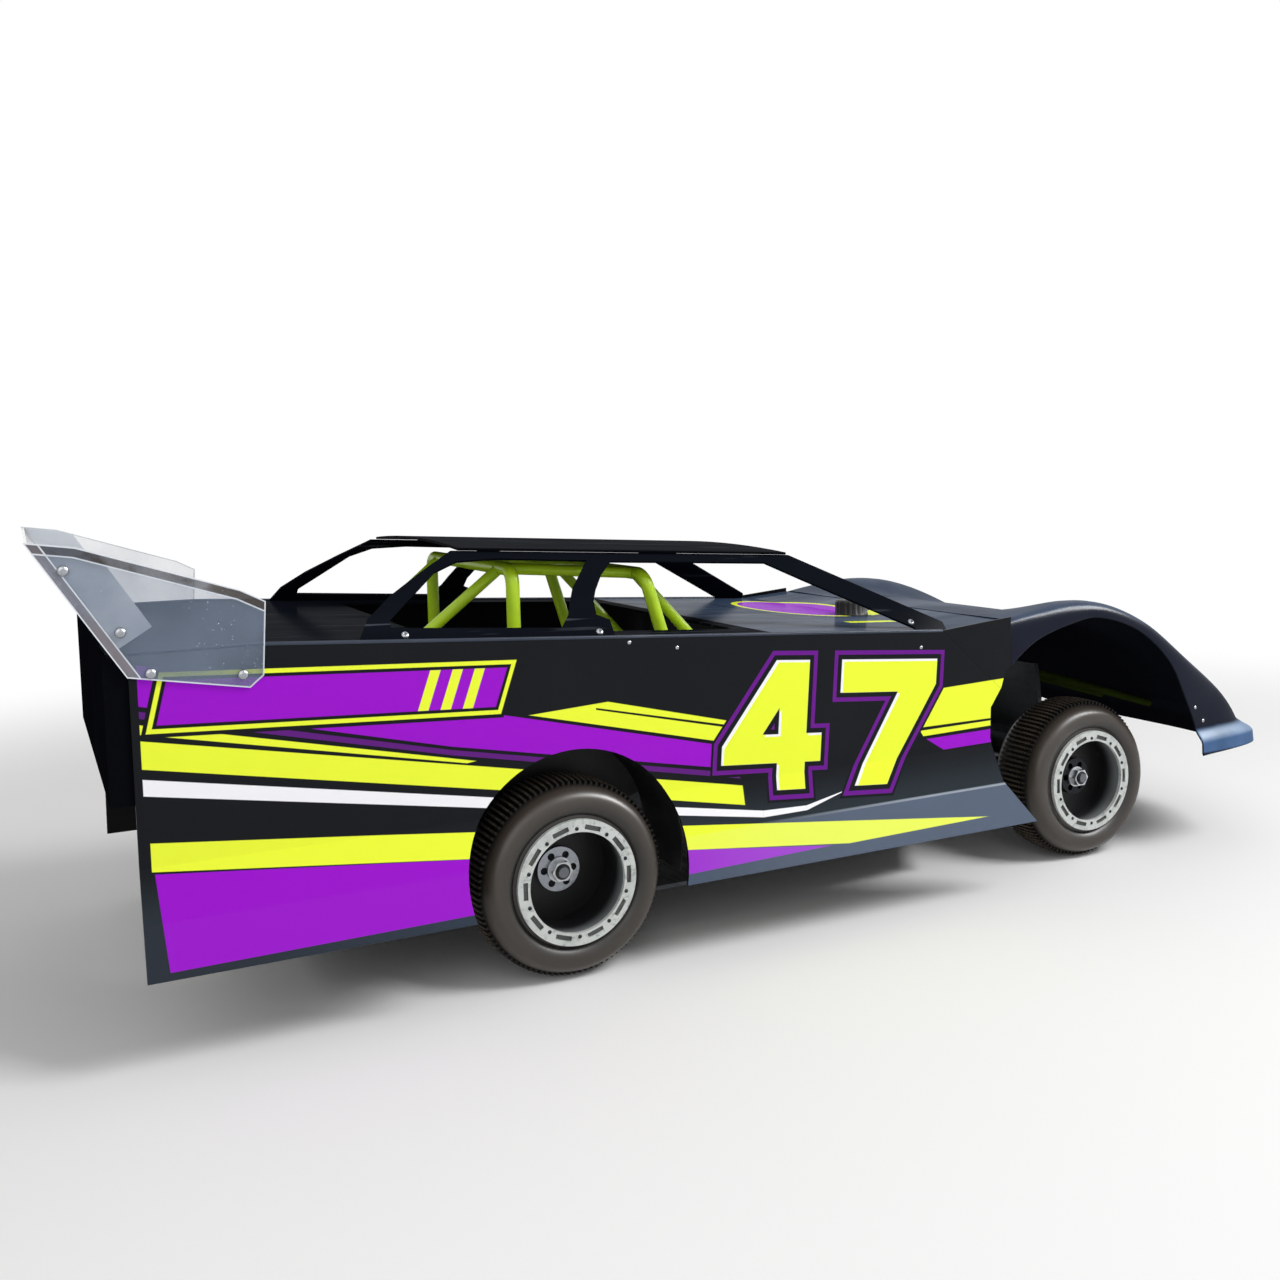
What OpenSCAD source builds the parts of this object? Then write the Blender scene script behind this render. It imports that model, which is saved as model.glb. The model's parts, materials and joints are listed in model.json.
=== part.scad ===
// Quarter-scale radio-controlled dirt-oval race car: flat sheet body, moulded nose, clear spoiler,
// tube roll cage, live rear axle and parallel-arm steering.
// +X is forward, +Y is left, +Z is up. The origin is on the ground under the middle of the car.
// Modules place their pieces by x from the rear axle, y from the middle plane and z from the ground.

/* [Layout] */
// Rear axle to front axle
wheelbase = 660; // [640:1:690]
// Rear axle back to the tip of the spoiler
rear_reach = 433; // [420:1:450]
// Front axle forward to the tip of the nose lip
front_reach = 282; // [275:1:295]
// Side panel's outer face from the middle plane
panel_y = 222; // [218:0.5:228]

/* [Wheels] */
// Outer diameter of all tyres, to the tips of the pins
tyre_d = 182.5; // [178:0.5:188]
// Rear tyre width
rear_tyre_w = 76; // [70:1:80]
// Front tyre width
front_tyre_w = 72; // [68:1:76]
// Rear bead ring's outer face from the middle plane
rear_face_y = 222; // [218:1:226]
// Front bead ring's outer face from the middle plane
front_face_y = 183; // [180:1:190]
// Bead ring's outer diameter
ring_d = 115.5; // [112:0.5:119]
// Width of the bead ring's face
ring_w = 11.5; // [10:0.5:13]
// Thickness of the bead ring
ring_t = 4; // [3:0.5:5]
// Wall of the rim barrel
rim_wall = 3; // [2:0.5:4]
// Rear hub's face in from the ring's face
rear_hub_depth = 47; // [42:1:50]
// Front hub's face in from the ring's face
front_hub_depth = 26; // [22:1:30]
// Hub disc diameter
hub_d = 42; // [38:1:46]
// Hub disc thickness
hub_t = 6; // [5:0.5:8]
// Hub hole circle
hub_hole_circle = 29; // [27:0.5:31]
// Hub hole diameter
hub_hole_d = 7; // [5:0.5:7.5]
// Number of hub holes
hub_holes = 6; // [5:1:7]
// Diameter of the rear axle and of the front stubs
axle_d = 10; // [9:0.5:11]
// Axle nut across its flats
nut_af = 17.5; // [16:0.5:18.5]

/* [Side panels] */
// Thickness of all body sheets
sheet_t = 2.5; // [2:0.1:3.5]
// Rear edge of the quarter panel ahead of the spoiler tip
panel_tail_in = 67; // [61:1:78]
// Lower edge of the panels above the ground
panel_bottom = 77; // [72:1:85]
// Crease where the panel starts to flare outward
crease_z = 162; // [150:1:175]
// Flare at the lower edge
panel_flare = 18.5; // [12:0.5:20]
// Flat rear deck above the ground
deck_z = 330; // [325:1:338]
// End of the flat rear deck ahead of the spoiler tip
deck_flat_in = 168; // [158:1:178]
// Slope of the deck ahead of that bend in degrees
deck_slope = 3.5; // [3:0.1:4]
// Radius of the rear wheel opening
rear_arch_r = 106; // [103:0.5:112]
// Rear wheel opening's centre above the axle
rear_arch_rise = 16; // [12:1:20]
// Front edge of the door panel behind the front axle
front_arch_reach = 184; // [178:1:188]
// Top of the door seam behind the front axle
door_seam = 245; // [235:1:255]
// Join of the nose with the fender panels, behind the front axle
nose_join = 155; // [150:1:160]

/* [Cabin] */
// Window frame's foot from the middle plane
frame_y = 212; // [209:0.5:214]
// Lean of the window frames in degrees
frame_lean = 42.5; // [40:0.5:45]
// Roof above the deck, square to the deck
roof_rise = 73; // [68:1:78]
// Rear end of the window frames behind the rear axle
frame_tail = 186; // [178:1:192]
// Front end of the window frames behind the front axle
frame_front = 232; // [221:1:246]
// Rise of the roof's crown
roof_crown = 5; // [3:0.5:8]
// Cockpit opening, half width
cockpit_half_w = 172; // [165:1:180]
// Cockpit opening's rear edge behind the rear axle
cockpit_tail = 118; // [105:1:130]
// Rear edge of the hood behind the front end of the window frames
hood_lap = 213; // [205:1:220]

/* [Spoiler and tail] */
// Spoiler tip above the deck
spoiler_rise = 88; // [75:1:100]
// Foot of the spoiler side below the deck
spoiler_drop = 34; // [28:1:40]
// Length of the spoiler sides along the car
spoiler_l = 171; // [158:1:183]
// Lean of the spoiler: its tip behind its foot
spoiler_lean = 66; // [58:1:73]
// Width of the blade brackets
bracket_w = 34; // [28:1:40]
// Thickness of the blade brackets
bracket_t = 1.5; // [1:0.1:2]
// Tail panel's rear face ahead of the spoiler tip
tail_in = 49; // [43:1:53]
// Lower edge of the tail panel
tail_bottom = 212; // [200:1:225]
// Length of the tail panel's side returns
tail_return = 48; // [40:1:60]

/* [Nose] */
// Height of the nose lip's lower edge
lip_z = 115; // [108:1:122]
// Height of the fender crest
crest_z = 309; // [302:1:314]
// Crest inward from the nose's side
crest_in = 24; // [18:1:30]
// Outward flare of the lip
lip_flare = 22; // [18:1:24]
// Thickness of the moulded nose
nose_t = 3; // [2.5:0.1:4]

/* [Chassis] */
// Underside of the chassis plate
plate_z = 40; // [36:1:44]
// Thickness of the chassis plate
plate_t = 4; // [3:0.5:5]
// Half width of the chassis plate
plate_half_w = 138; // [136:0.5:140]
// Half width of the chassis plate at the steering
plate_nose_half_w = 58; // [54:1:62]
// Cage tube diameter
cage_d = 13; // [11:0.5:15]
// Cage half width
cage_half_w = 130; // [125:1:131]
// Top of the rear hoop
cage_z = 370; // [362:1:374]
// Middle of the mounting holes behind the rear axle
mount_mid = 130; // [125:1:140]
// Spacing of the rows of mounting holes along the plate
mount_dx = 120; // [100:5:140]
// Spacing of the mounting holes across the plate
mount_dy = 90; // [80:5:110]
// Diameter of the mounting holes
mount_d = 6.4; // [5:0.1:8]

/* [Steering] */
// King pins from the middle plane
pin_y = 100; // [97:1:102]
// Steering arm length
arm_l = 45; // [40:1:48]
// King pin diameter
pin_d = 6; // [5:0.5:7]
// Track rod diameter
rod_d = 5; // [4:0.5:6]

/* [Hidden] */
$fn = 48;
// All cuts run past their piece by this much
overrun = 20;
// Running clearance of pins and shafts, on the radius
run_gap = 0.05;
// Gap between pieces that seat on each other
seat_gap = 0.3;

// Places along the car from the rear axle, as shares of the wheelbase
engine_share = 0.091;
tank_share = 0.341;
box_share = 0.561;
hoop_share = -0.03;
front_hoop_share = 0.179;
front_foot_share = 0.324;
brace_foot_share = 0.614;
// Places behind the rear axle, as shares of the rear reach
plate_tail_share = 0.577;
stay_share = 0.497;
// Radii of stays, arms and bosses, as shares of the tube, post or link they go with
stay_r_share = 0.85;
mount_arm_share = 0.8;
servo_boss_share = 0.6;

tyre_r = tyre_d / 2;
front_axle = wheelbase;
panel_tail = rear_reach - panel_tail_in;
deck_flat = rear_reach - deck_flat_in;
tail_x = rear_reach - tail_in;
spoiler_foot = rear_reach - spoiler_lean;
spoiler_z = deck_z + spoiler_rise;
door_top_x = front_axle - door_seam;
frame_l = frame_tail + front_axle - frame_front;
hood_x = front_axle - frame_front - hood_lap;
axle_r = axle_d / 2;
rear_axle_x = rear_reach - (rear_reach + wheelbase + front_reach) / 2;
plate_top = plate_z + plate_t;
panel_in = panel_y - sheet_t;
deck_half_w = panel_in - seat_gap;
nose_x = front_axle - nose_join;
nose_l = front_reach + nose_join - lip_flare;
span_y = 2 * (panel_y + panel_flare + overrun);
span_x = rear_reach + wheelbase + front_reach + 2 * overrun;

// Height of the deck's upper face at x.
function deck_h(x) = x < -deck_flat ? deck_z : deck_z - (x + deck_flat) * tan(deck_slope);

// Panel outlines

// Front wheel opening in the door, from the rocker up to the seam.
// Columns: reach behind the front axle, height between lower edge and deck.
door_arch_shares = [[0.74, 0], [0.945, 0.22], [1, 0.44], [0.995, 0.59], [0.92, 0.68]];
// Front wheel opening in the fender panel, same columns.
fender_arch_shares = [[0.92, 0.68], [0.89, 0.755], [0.842, 0.79]];
door_h = deck_h(door_top_x) - panel_bottom;
// Rise of the fender panel's top edge over the deck line at the nose
fender_rise = 13;
// Rise of the hood over the deck line at the nose, from a bend ahead of the window frames
hood_rise = 8.5;
hood_bend = 12;

function arch_points(shares, dx) =
    [for (s = shares) [front_axle - front_arch_reach * s[0] + dx, panel_bottom + door_h * s[1]]];

door_outline = concat(
    [[-panel_tail, panel_bottom], [-panel_tail, deck_z], [-deck_flat, deck_z],
     [door_top_x, deck_h(door_top_x)]],
    [for (i = [len(door_arch_shares) - 1:-1:0]) arch_points(door_arch_shares, 0)[i]]);

fender_outline = concat(
    [[door_top_x + seat_gap, deck_h(door_top_x)]],
    arch_points(fender_arch_shares, seat_gap),
    [[nose_x - seat_gap, panel_bottom + door_h * fender_arch_shares[2][1]],
     [nose_x - seat_gap, deck_h(nose_x) + fender_rise]]);

// Sheet cross-section of the side panels. Columns: y, z.
panel_profile = [
    [panel_y, crease_z], [panel_y, deck_z + overrun],
    [panel_in, deck_z + overrun], [panel_in, crease_z],
    [panel_in + panel_flare, panel_bottom], [panel_y + panel_flare, panel_bottom]];

// Window frame. Columns: along the frame from its rear end, up its slope.
frame_outline_shares = [
    [0, -0.03], [0, 0], [0.0165, 0.22], [0.055, 0.475], [0.106, 0.74], [0.164, 1.02],
    [0.741, 1.02], [1, 0.1], [1, -0.03]];
rear_window_shares = [
    [0.047, 0.125], [0.3, 0.1], [0.318, 0.26], [0.326, 0.4], [0.338, 0.575], [0.374, 0.9],
    [0.226, 0.91], [0.165, 0.87], [0.127, 0.74], [0.048, 0.21]];
front_window_shares = [
    [0.415, 0.89], [0.392, 0.73], [0.373, 0.53], [0.364, 0.4], [0.362, 0.245], [0.381, 0.185],
    [0.381, -0.1], [0.936, -0.1], [0.936, 0.03], [0.756, 0.67], [0.695, 0.893]];
frame_h = roof_rise / cos(frame_lean);
// Roof's rear and front ends along the frame
roof_tail_share = 0.17;
roof_front_share = 0.741;
// Lap of the roof over the top of the frames, in sheets
roof_lap_share = 0.4;
roof_half_w = frame_y - roof_rise * tan(frame_lean) + roof_lap_share * sheet_t;
roof_crown_r = (roof_half_w * roof_half_w + roof_crown * roof_crown) / (2 * roof_crown);

// Spoiler side. Columns: along from the tip to the front end, up from the foot to the tip.
spoiler_shares = [
    [0, 1], [0.386, 0.13], [0.912, 0], [0.977, 0.074], [1, 0.557], [0.889, 0.639], [0.205, 0.959]];
spoiler_foot_z = deck_z - spoiler_drop;
spoiler_h = spoiler_z - spoiler_foot_z;
spoiler_points =
    [for (s = spoiler_shares) [-rear_reach + spoiler_l * s[0], spoiler_foot_z + spoiler_h * s[1]]];
// Angle of the blade from the horizontal
blade_angle = atan2(spoiler_h * (1 - spoiler_shares[1][1]), rear_reach - spoiler_foot);
blade_l = (spoiler_z - deck_z) / sin(blade_angle);

// Moulded nose

// Rows run from the join at the hood to the lip. x shares run along the nose, z shares from lip to crest.
// Columns: hood x, hood z, crest x, crest z, wheel opening x, wheel opening z, lip flare.
nose_shares = [
    [0, 0.912, 0, 0.915, 0, 0.665, 0],
    [0.132, 0.907, 0.1, 0.95, 0.084, 0.789, 0],
    [0.301, 0.861, 0.232, 0.978, 0.193, 0.861, 0],
    [0.47, 0.79, 0.362, 0.945, 0.306, 0.887, 0],
    [0.639, 0.66, 0.49, 0.815, 0.45, 0.789, 0],
    [0.783, 0.49, 0.632, 0.595, 0.561, 0.585, 0],
    [0.903, 0.3, 0.765, 0.355, 0.635, 0.335, 0],
    [0.975, 0.15, 0.862, 0.165, 0.676, 0.15, 0],
    [1, -0.06, 0.893, 0.02, 0.676, 0, 1]];
// Share of the half width from the middle to the crest, by columns of the mesh
crest_share = 0.7;
// Rise from the middle to the crest: how steep, and how far out it starts
crest_rise_shares = [2.4, 1.4];
// Roundness of the shoulder at the join and further on: 1 is an ellipse, less is squarer
join_share = 0.3;
shoulder_share = 0.6;
// How far along the nose the shoulder takes its full roundness
join_run_share = 0.25;
// Outward flare of the lip at the wheel opening as a share of the flare in front
lip_side_share = 0.4;
nose_rows = 24;
nose_cols = 14;

// Smooth curve through the rows of a table, at t from 0 to 1, for column c.
function row_at(table, k) = table[max(0, min(len(table) - 1, k))];
function along(table, t, c) =
    let (f = t * (len(table) - 1), k = min(floor(f), len(table) - 2), u = f - k,
         a = row_at(table, k - 1)[c], b = row_at(table, k)[c],
         d = row_at(table, k + 1)[c], e = row_at(table, k + 2)[c])
    b + (d - a) * u / 2 + (a - 2.5 * b + 2 * d - e / 2) * u * u
      + (1.5 * (b - d) + (e - a) / 2) * u * u * u;

function smooth_step(u) = let (v = max(0, min(1, u))) v * v * (3 - 2 * v);

// Point of the nose's outer face: t from join to lip, s from -1 on the right to 1 on the left.
function nose_point(t, s) =
    let (q = abs(s), side = sign(s), crest_y = panel_y - crest_in, height = crest_z - lip_z,
         hx = along(nose_shares, t, 0), hz = along(nose_shares, t, 1),
         cx = along(nose_shares, t, 2), cz = along(nose_shares, t, 3),
         ax = along(nose_shares, t, 4), az = along(nose_shares, t, 5),
         flare = lip_flare * max(0, along(nose_shares, t, 6)),
         u = min(1, q / crest_share), angle = 90 * max(0, (q - crest_share) / (1 - crest_share)),
         bend = join_share + (shoulder_share - join_share) * smooth_step(t / join_run_share),
         out = pow(sin(angle), bend), up = pow(cos(angle), bend), steep = crest_rise_shares,
         x = q < crest_share ? hx + (cx - hx) * u * u * u : ax + (cx - ax) * cos(angle),
         y = q < crest_share ? crest_y * u : crest_y + crest_in * out,
         z = q < crest_share ? hz + (cz - hz) * smooth_step(steep[0] * u - steep[1]) : az + (cz - az) * up,
         turn = 90 * q * q * q)
    [nose_x + nose_l * x + flare * cos(turn), side * (y + lip_side_share * flare * sin(turn)),
     lip_z + height * z];

function unit(v) = v / norm(v);
nose_step_share = 0.004;
function nose_normal(t, s) =
    let (t0 = max(0, t - nose_step_share), t1 = min(1, t + nose_step_share),
         s0 = max(-1, s - nose_step_share), s1 = min(1, s + nose_step_share))
    unit(cross(nose_point(t1, s) - nose_point(t0, s), nose_point(t, s1) - nose_point(t, s0)));

// Wheels, from the ring's face inward

ring_r = ring_d / 2 - ring_w;
// Ring's inner edge inside the barrel's face
ring_lip = 2.25;
rim_r = ring_r + ring_lip;
barrel_r = rim_r + rim_wall;
web_t = 5;
nut_flange_w = 3;
nut_flange_r = nut_af / 2 + nut_flange_w;
nut_flange_t = 2;
nut_t = 8;
axle_end = 3;
shoulder_r = 17;
boss_wall = 4;
boss_r = axle_r + boss_wall;
// Recesses in the face of the bead ring
recess_count = 10;
recess_l = 16;
recess_w = 4.5;
recess_depth = 2;
recess_in = 2;
// Inner flange of the rim as a share of the ring's width
flange_share = 0.6;
hub_gap_y = 0.3;

// Steering levels

lower_arm_t = 8;
upper_arm_t = 8;
upper_arm_z = 118;
arm_half_w = 14;
eye_r = 11;
pin_r = pin_d / 2;
lower_arm_top = plate_top + lower_arm_t;
barrel_d = 16;
link_z = 98;
link_t = 5;
link_w = 11;
rod_eye_wall = 1;
rod_eye_h = rod_d + 2 * rod_eye_wall;
rod_pin_r = 2.5;
servo_l = 60;
servo_w = 30;
servo_h = 40;
servo_boss_r = servo_boss_share * link_w;
post_y = 45;
post_r = 6;
pin_proud = 4;
// Upright plate ahead of the arms
tower_ahead = 36;
tower_t = 6;
tower_top_half_w = 52;
tower_shoulder_z = 165;
tower_z = 208;

// Chassis masses, their places along the car as shares of the wheelbase

engine_l = 110;
engine_w = 120;
engine_h = 110;
engine_x = engine_share * wheelbase;
engine_y = 45;
head_d = 62;
head_h = 52;
tank_l = 110;
tank_w = 80;
tank_h = 84;
tank_x = tank_share * wheelbase;
tank_y = -58;
box_l = 100;
box_w = 110;
box_h = 46;
box_x = box_share * wheelbase;
carrier_y = 92;
carrier_t = 14;
carrier_w = 44;
gear_r = 38;
gear_t = 12;
gear_y = 52;
gear_room = 5;
wheel_room = 20;
plate_tail = plate_tail_share * rear_reach;
plate_nose = 84;

// Cage and body stays, their places as shares of the wheelbase or of the rear reach

tube_r = cage_d / 2;
cage_bend = 15;
stay_r = stay_r_share * tube_r;
hoop_x = hoop_share * wheelbase;
front_hoop_x = front_hoop_share * wheelbase;
front_hoop_z = 358;
front_foot_x = front_foot_share * wheelbase;
brace_foot_x = brace_foot_share * wheelbase;
stay_x = -stay_share * rear_reach;
stay_z = 214;
mount_r = 5;
mount_arm_r = mount_arm_share * mount_r;
// Front posts ahead of the tank
post_ahead = 17;
mount_x = [stay_x, tank_x + tank_l + post_ahead];
mount_y = 96;
mount_z = 205;
brace_y = 42;
brace_z = 198;
// Place of the brace's front end on the nose: from join to lip, and from the middle to the side
brace_nose_shares = [0.9, 0.15];

// Helpers

// Moves pieces drawn from the rear axle into the car's frame.
module placed() { translate([rear_axle_x, 0, 0]) children(); }

// Mirrors a piece drawn on the left to the right.
module on_side(right) { if (right) mirror([0, 1, 0]) children(); else children(); }

// Extrudes an x-z outline across the car from y0 to y1.
module across(y0, y1) { translate([0, y1, 0]) rotate([90, 0, 0]) linear_extrude(y1 - y0) children(); }

// Extrudes a y-z outline forward from x0 to x1.
module forward(x0, x1) { translate([x0, 0, 0]) rotate([90, 0, 90]) linear_extrude(x1 - x0) children(); }

// Round tube between two points.
module tube(a, b, r) {
    d = b - a;
    translate(a) rotate([0, acos(d[2] / norm(d)), atan2(d[1], d[0])]) cylinder(h = norm(d), r = r);
}

// Turns a profile of radius and distance outward about the axle through x, z, on the left side.
module turned(x, y) { translate([x, y, tyre_r]) rotate([-90, 0, 0]) rotate_extrude($fn = 96) children(); }

// Frame of the sloping deck: x along it, z square to it, from its rear bend.
module on_slope() { translate([-deck_flat, 0, deck_z]) rotate([0, deck_slope, 0]) children(); }

// Chassis

plate_outline = [
    [-plate_tail, plate_half_w], [front_axle - tyre_d, plate_half_w],
    [front_axle - tyre_r - 2 * wheel_room, plate_nose_half_w],
    [front_axle + plate_nose, plate_nose_half_w]];

module chassis_plate() {
    color("dimgray") placed() difference() {
        translate([0, 0, plate_z]) linear_extrude(plate_t)
            polygon(concat(plate_outline, [for (i = [len(plate_outline) - 1:-1:0])
                [plate_outline[i][0], -plate_outline[i][1]]]));
        for (i = [-1, 1], j = [-1, 1])
            translate([-mount_mid + i * mount_dx / 2, j * mount_dy / 2, plate_z - overrun])
                cylinder(h = plate_t + 2 * overrun, d = mount_d);
        translate([-gear_r - gear_room, gear_y - gear_t / 2 - gear_room, plate_z - overrun])
            cube([2 * (gear_r + gear_room), gear_t + 2 * gear_room, plate_t + 2 * overrun]);
    }
}

module engine_block() {
    color("silver") placed() translate([engine_x, engine_y - engine_w / 2, plate_top]) {
        cube([engine_l, engine_w, engine_h]);
        translate([engine_l / 2, engine_w / 2, engine_h]) cylinder(h = head_h, d = head_d);
    }
}

module fuel_tank() {
    color("whitesmoke") placed() translate([tank_x, tank_y - tank_w / 2, plate_top])
        cube([tank_l, tank_w, tank_h]);
}

module radio_box() {
    color("black") placed() translate([box_x, -box_w / 2, plate_top]) cube([box_l, box_w, box_h]);
}

module axle_carriers() {
    color("silver") placed() for (right = [false, true]) on_side(right)
        difference() {
            union() {
                translate([-carrier_w / 2, carrier_y - carrier_t / 2, plate_top])
                    cube([carrier_w, carrier_t, tyre_r - plate_top]);
                translate([0, carrier_y - carrier_t / 2, tyre_r]) rotate([-90, 0, 0])
                    cylinder(h = carrier_t, d = carrier_w);
            }
            translate([0, carrier_y - carrier_t / 2 - overrun, tyre_r]) rotate([-90, 0, 0])
                cylinder(h = carrier_t + 2 * overrun, r = axle_r + run_gap);
        }
}

// Bent hoop of tube in the y-z plane, its feet at z = 0.
module hoop(half_w, height) {
    for (right = [false, true]) on_side(right) {
        translate([0, half_w, -overrun]) cylinder(h = height - cage_bend + overrun, r = tube_r);
        translate([0, half_w - cage_bend, height - cage_bend]) rotate([90, 0, 90])
            rotate_extrude(angle = 90) translate([cage_bend, 0]) circle(r = tube_r);
    }
    tube([0, cage_bend - half_w, height], [0, half_w - cage_bend, height], tube_r);
}

module roll_cage() {
    rail_y = cage_half_w - cage_bend - tube_r;
    front_lean = atan2(front_foot_x - front_hoop_x, front_hoop_z - plate_top);
    hoop_top = [hoop_x, rail_y, cage_z];
    front_top = [front_hoop_x, rail_y, front_hoop_z];
    stay_end = [stay_x, rail_y, stay_z];
    brace_run = (brace_foot_x - front_hoop_x) / (front_hoop_z - plate_top);
    brace_end = [brace_foot_x + overrun * brace_run, rail_y, plate_top - overrun];
    color("yellowgreen") placed() intersection() {
        union() {
            translate([hoop_x, 0, plate_top]) hoop(cage_half_w, cage_z - plate_top);
            translate([front_foot_x, 0, plate_top]) rotate([0, -front_lean, 0])
                hoop(cage_half_w, (front_hoop_z - plate_top) / cos(front_lean));
            translate([stay_x, 0, plate_top]) hoop(rail_y, stay_z - plate_top);
            for (right = [false, true]) on_side(right) {
                tube(hoop_top, front_top, stay_r);
                tube(front_top, brace_end, stay_r);
                tube(hoop_top - [0, 2 * tube_r, 0], stay_end - [0, 2 * tube_r + cage_bend, 0], stay_r);
            }
        }
        translate([-span_x, -span_y, plate_top]) cube([2 * span_x, 2 * span_y, span_x]);
    }
}

module body_mounts() {
    color("dimgray") placed() for (x = mount_x, right = [false, true]) on_side(right) {
        post_x = x + (x < 0 ? -cage_d - mount_r : 0);
        top = deck_h(post_x + mount_r) - sheet_t / cos(deck_slope) - seat_gap;
        translate([post_x, mount_y, plate_top]) cylinder(h = top - plate_top, r = mount_r);
        tube([post_x, mount_y, mount_z], [post_x, panel_in - seat_gap, mount_z], mount_arm_r);
    }
}

module nose_brace() {
    foot_x = front_axle + tower_ahead + tower_t + seat_gap;
    tip = nose_point(brace_nose_shares[0], brace_nose_shares[1]);
    reach = [tip[0] - 2 * nose_t - mount_r, brace_y, tip[2]];
    color("yellowgreen") placed() intersection() {
        union() for (right = [false, true]) on_side(right)
            tube([foot_x - mount_r, brace_y, brace_z], reach, mount_r);
        translate([foot_x, -span_y, 0]) cube([span_x, 2 * span_y, span_x]);
    }
}

// Body panels

module panel_sheet(outline) {
    intersection() {
        across(0, span_y) polygon(outline);
        forward(-span_x, span_x) polygon(panel_profile);
    }
}

module side_panel(right) {
    color("black") placed() on_side(right) difference() {
        panel_sheet(door_outline);
        translate([0, 0, tyre_r + rear_arch_rise]) rotate([-90, 0, 0])
            cylinder(h = span_y, r = rear_arch_r, $fn = 96);
    }
}
module side_panel_right() { side_panel(true); }
module side_panel_left() { side_panel(false); }

module fender_panel(right) { color("black") placed() on_side(right) panel_sheet(fender_outline); }
module fender_panel_right() { fender_panel(true); }
module fender_panel_left() { fender_panel(false); }

// Strip of deck sheet in profile between two x positions, its upper face on the deck line.
module deck_profile(x0, x1) {
    tops = x0 < -deck_flat ? [[x0, deck_z], [-deck_flat, deck_z], [x1, deck_h(x1)]]
                           : [[x0, deck_h(x0)], [x1, deck_h(x1)]];
    polygon(concat(tops, [for (i = [len(tops) - 1:-1:0]) [tops[i][0], tops[i][1] - sheet_t]]));
}

module deck() {
    color("black") placed() difference() {
        across(-deck_half_w, deck_half_w) deck_profile(-tail_x + sheet_t + seat_gap, hood_x - seat_gap);
        translate([-cockpit_tail, -cockpit_half_w, deck_h(hood_x) - overrun])
            cube([hood_x - overrun + cockpit_tail, 2 * cockpit_half_w, deck_z]);
    }
}

module hood() {
    bend_x = front_axle - frame_front + hood_bend;
    tip_x = nose_x - seat_gap;
    tops = [[hood_x, deck_h(hood_x)], [bend_x, deck_h(bend_x)], [tip_x, deck_h(tip_x) + hood_rise]];
    color("black") placed() across(-deck_half_w, deck_half_w)
        polygon(concat(tops, [for (i = [len(tops) - 1:-1:0]) [tops[i][0], tops[i][1] - sheet_t]]));
}

module roof() {
    arc_z = roof_rise - roof_crown_r + roof_crown;
    color("black") placed() on_slope()
        forward(deck_flat - frame_tail + frame_l * roof_tail_share,
                deck_flat - frame_tail + frame_l * roof_front_share)
        intersection() {
            difference() {
                translate([0, arc_z + sheet_t]) circle(r = roof_crown_r, $fn = 360);
                translate([0, arc_z]) circle(r = roof_crown_r, $fn = 360);
            }
            translate([-roof_half_w, roof_rise - overrun]) square([2 * roof_half_w, 2 * overrun]);
        }
}

function frame_points(shares) =
    [for (s = shares) [deck_flat - frame_tail + frame_l * s[0], frame_h * s[1]]];

module window_frame(right) {
    color("black") placed() on_side(right) on_slope() intersection() {
        translate([0, frame_y, 0]) rotate([frame_lean, 0, 0]) rotate([90, 0, 0]) linear_extrude(sheet_t)
            difference() {
                polygon(frame_points(frame_outline_shares));
                polygon(frame_points(rear_window_shares));
                polygon(frame_points(front_window_shares));
            }
        cube([span_x, panel_y, roof_rise - seat_gap]);
    }
}
module window_frame_right() { window_frame(true); }
module window_frame_left() { window_frame(false); }

module tail_panel() {
    color("black") placed() difference() {
        translate([-tail_x, -deck_half_w, tail_bottom])
            cube([tail_return, 2 * deck_half_w, deck_z - tail_bottom]);
        translate([-tail_x + sheet_t, -deck_half_w + sheet_t, tail_bottom - overrun])
            cube([tail_return, 2 * (deck_half_w - sheet_t), deck_z + overrun]);
        translate([-tail_x + sheet_t, -deck_half_w - overrun, deck_z - sheet_t - seat_gap])
            cube([tail_return + overrun, span_y, 2 * overrun]);
    }
}

// Spoiler

module spoiler_side(right) {
    color("lightblue", 0.4) placed() on_side(right)
        across(panel_y + seat_gap, panel_y + seat_gap + sheet_t)
        polygon(spoiler_points);
}
module spoiler_side_right() { spoiler_side(true); }
module spoiler_side_left() { spoiler_side(false); }

// Frame of the blade: x up its slope from the deck, z square to it and forward.
module on_blade() {
    translate([-rear_reach + blade_l * cos(blade_angle), 0, deck_z + seat_gap])
        rotate([0, blade_angle - 180, 0]) children();
}

module spoiler_blade() {
    color("lightblue", 0.4) placed() on_blade() mirror([0, 0, 1])
        translate([0, -panel_y, 0]) cube([blade_l - sheet_t, 2 * panel_y, sheet_t]);
}

module spoiler_brackets() {
    lift = sheet_t + seat_gap;
    color("lightgray") placed() for (right = [false, true]) on_side(right) intersection() {
        on_blade() mirror([0, 0, 1]) translate([0, panel_y - bracket_w, lift]) {
            cube([blade_l, bracket_w, bracket_t]);
            translate([0, bracket_w - bracket_t, 0]) cube([blade_l, bracket_t, bracket_w]);
        }
        across(0, span_y) polygon(spoiler_points);
    }
}

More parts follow.
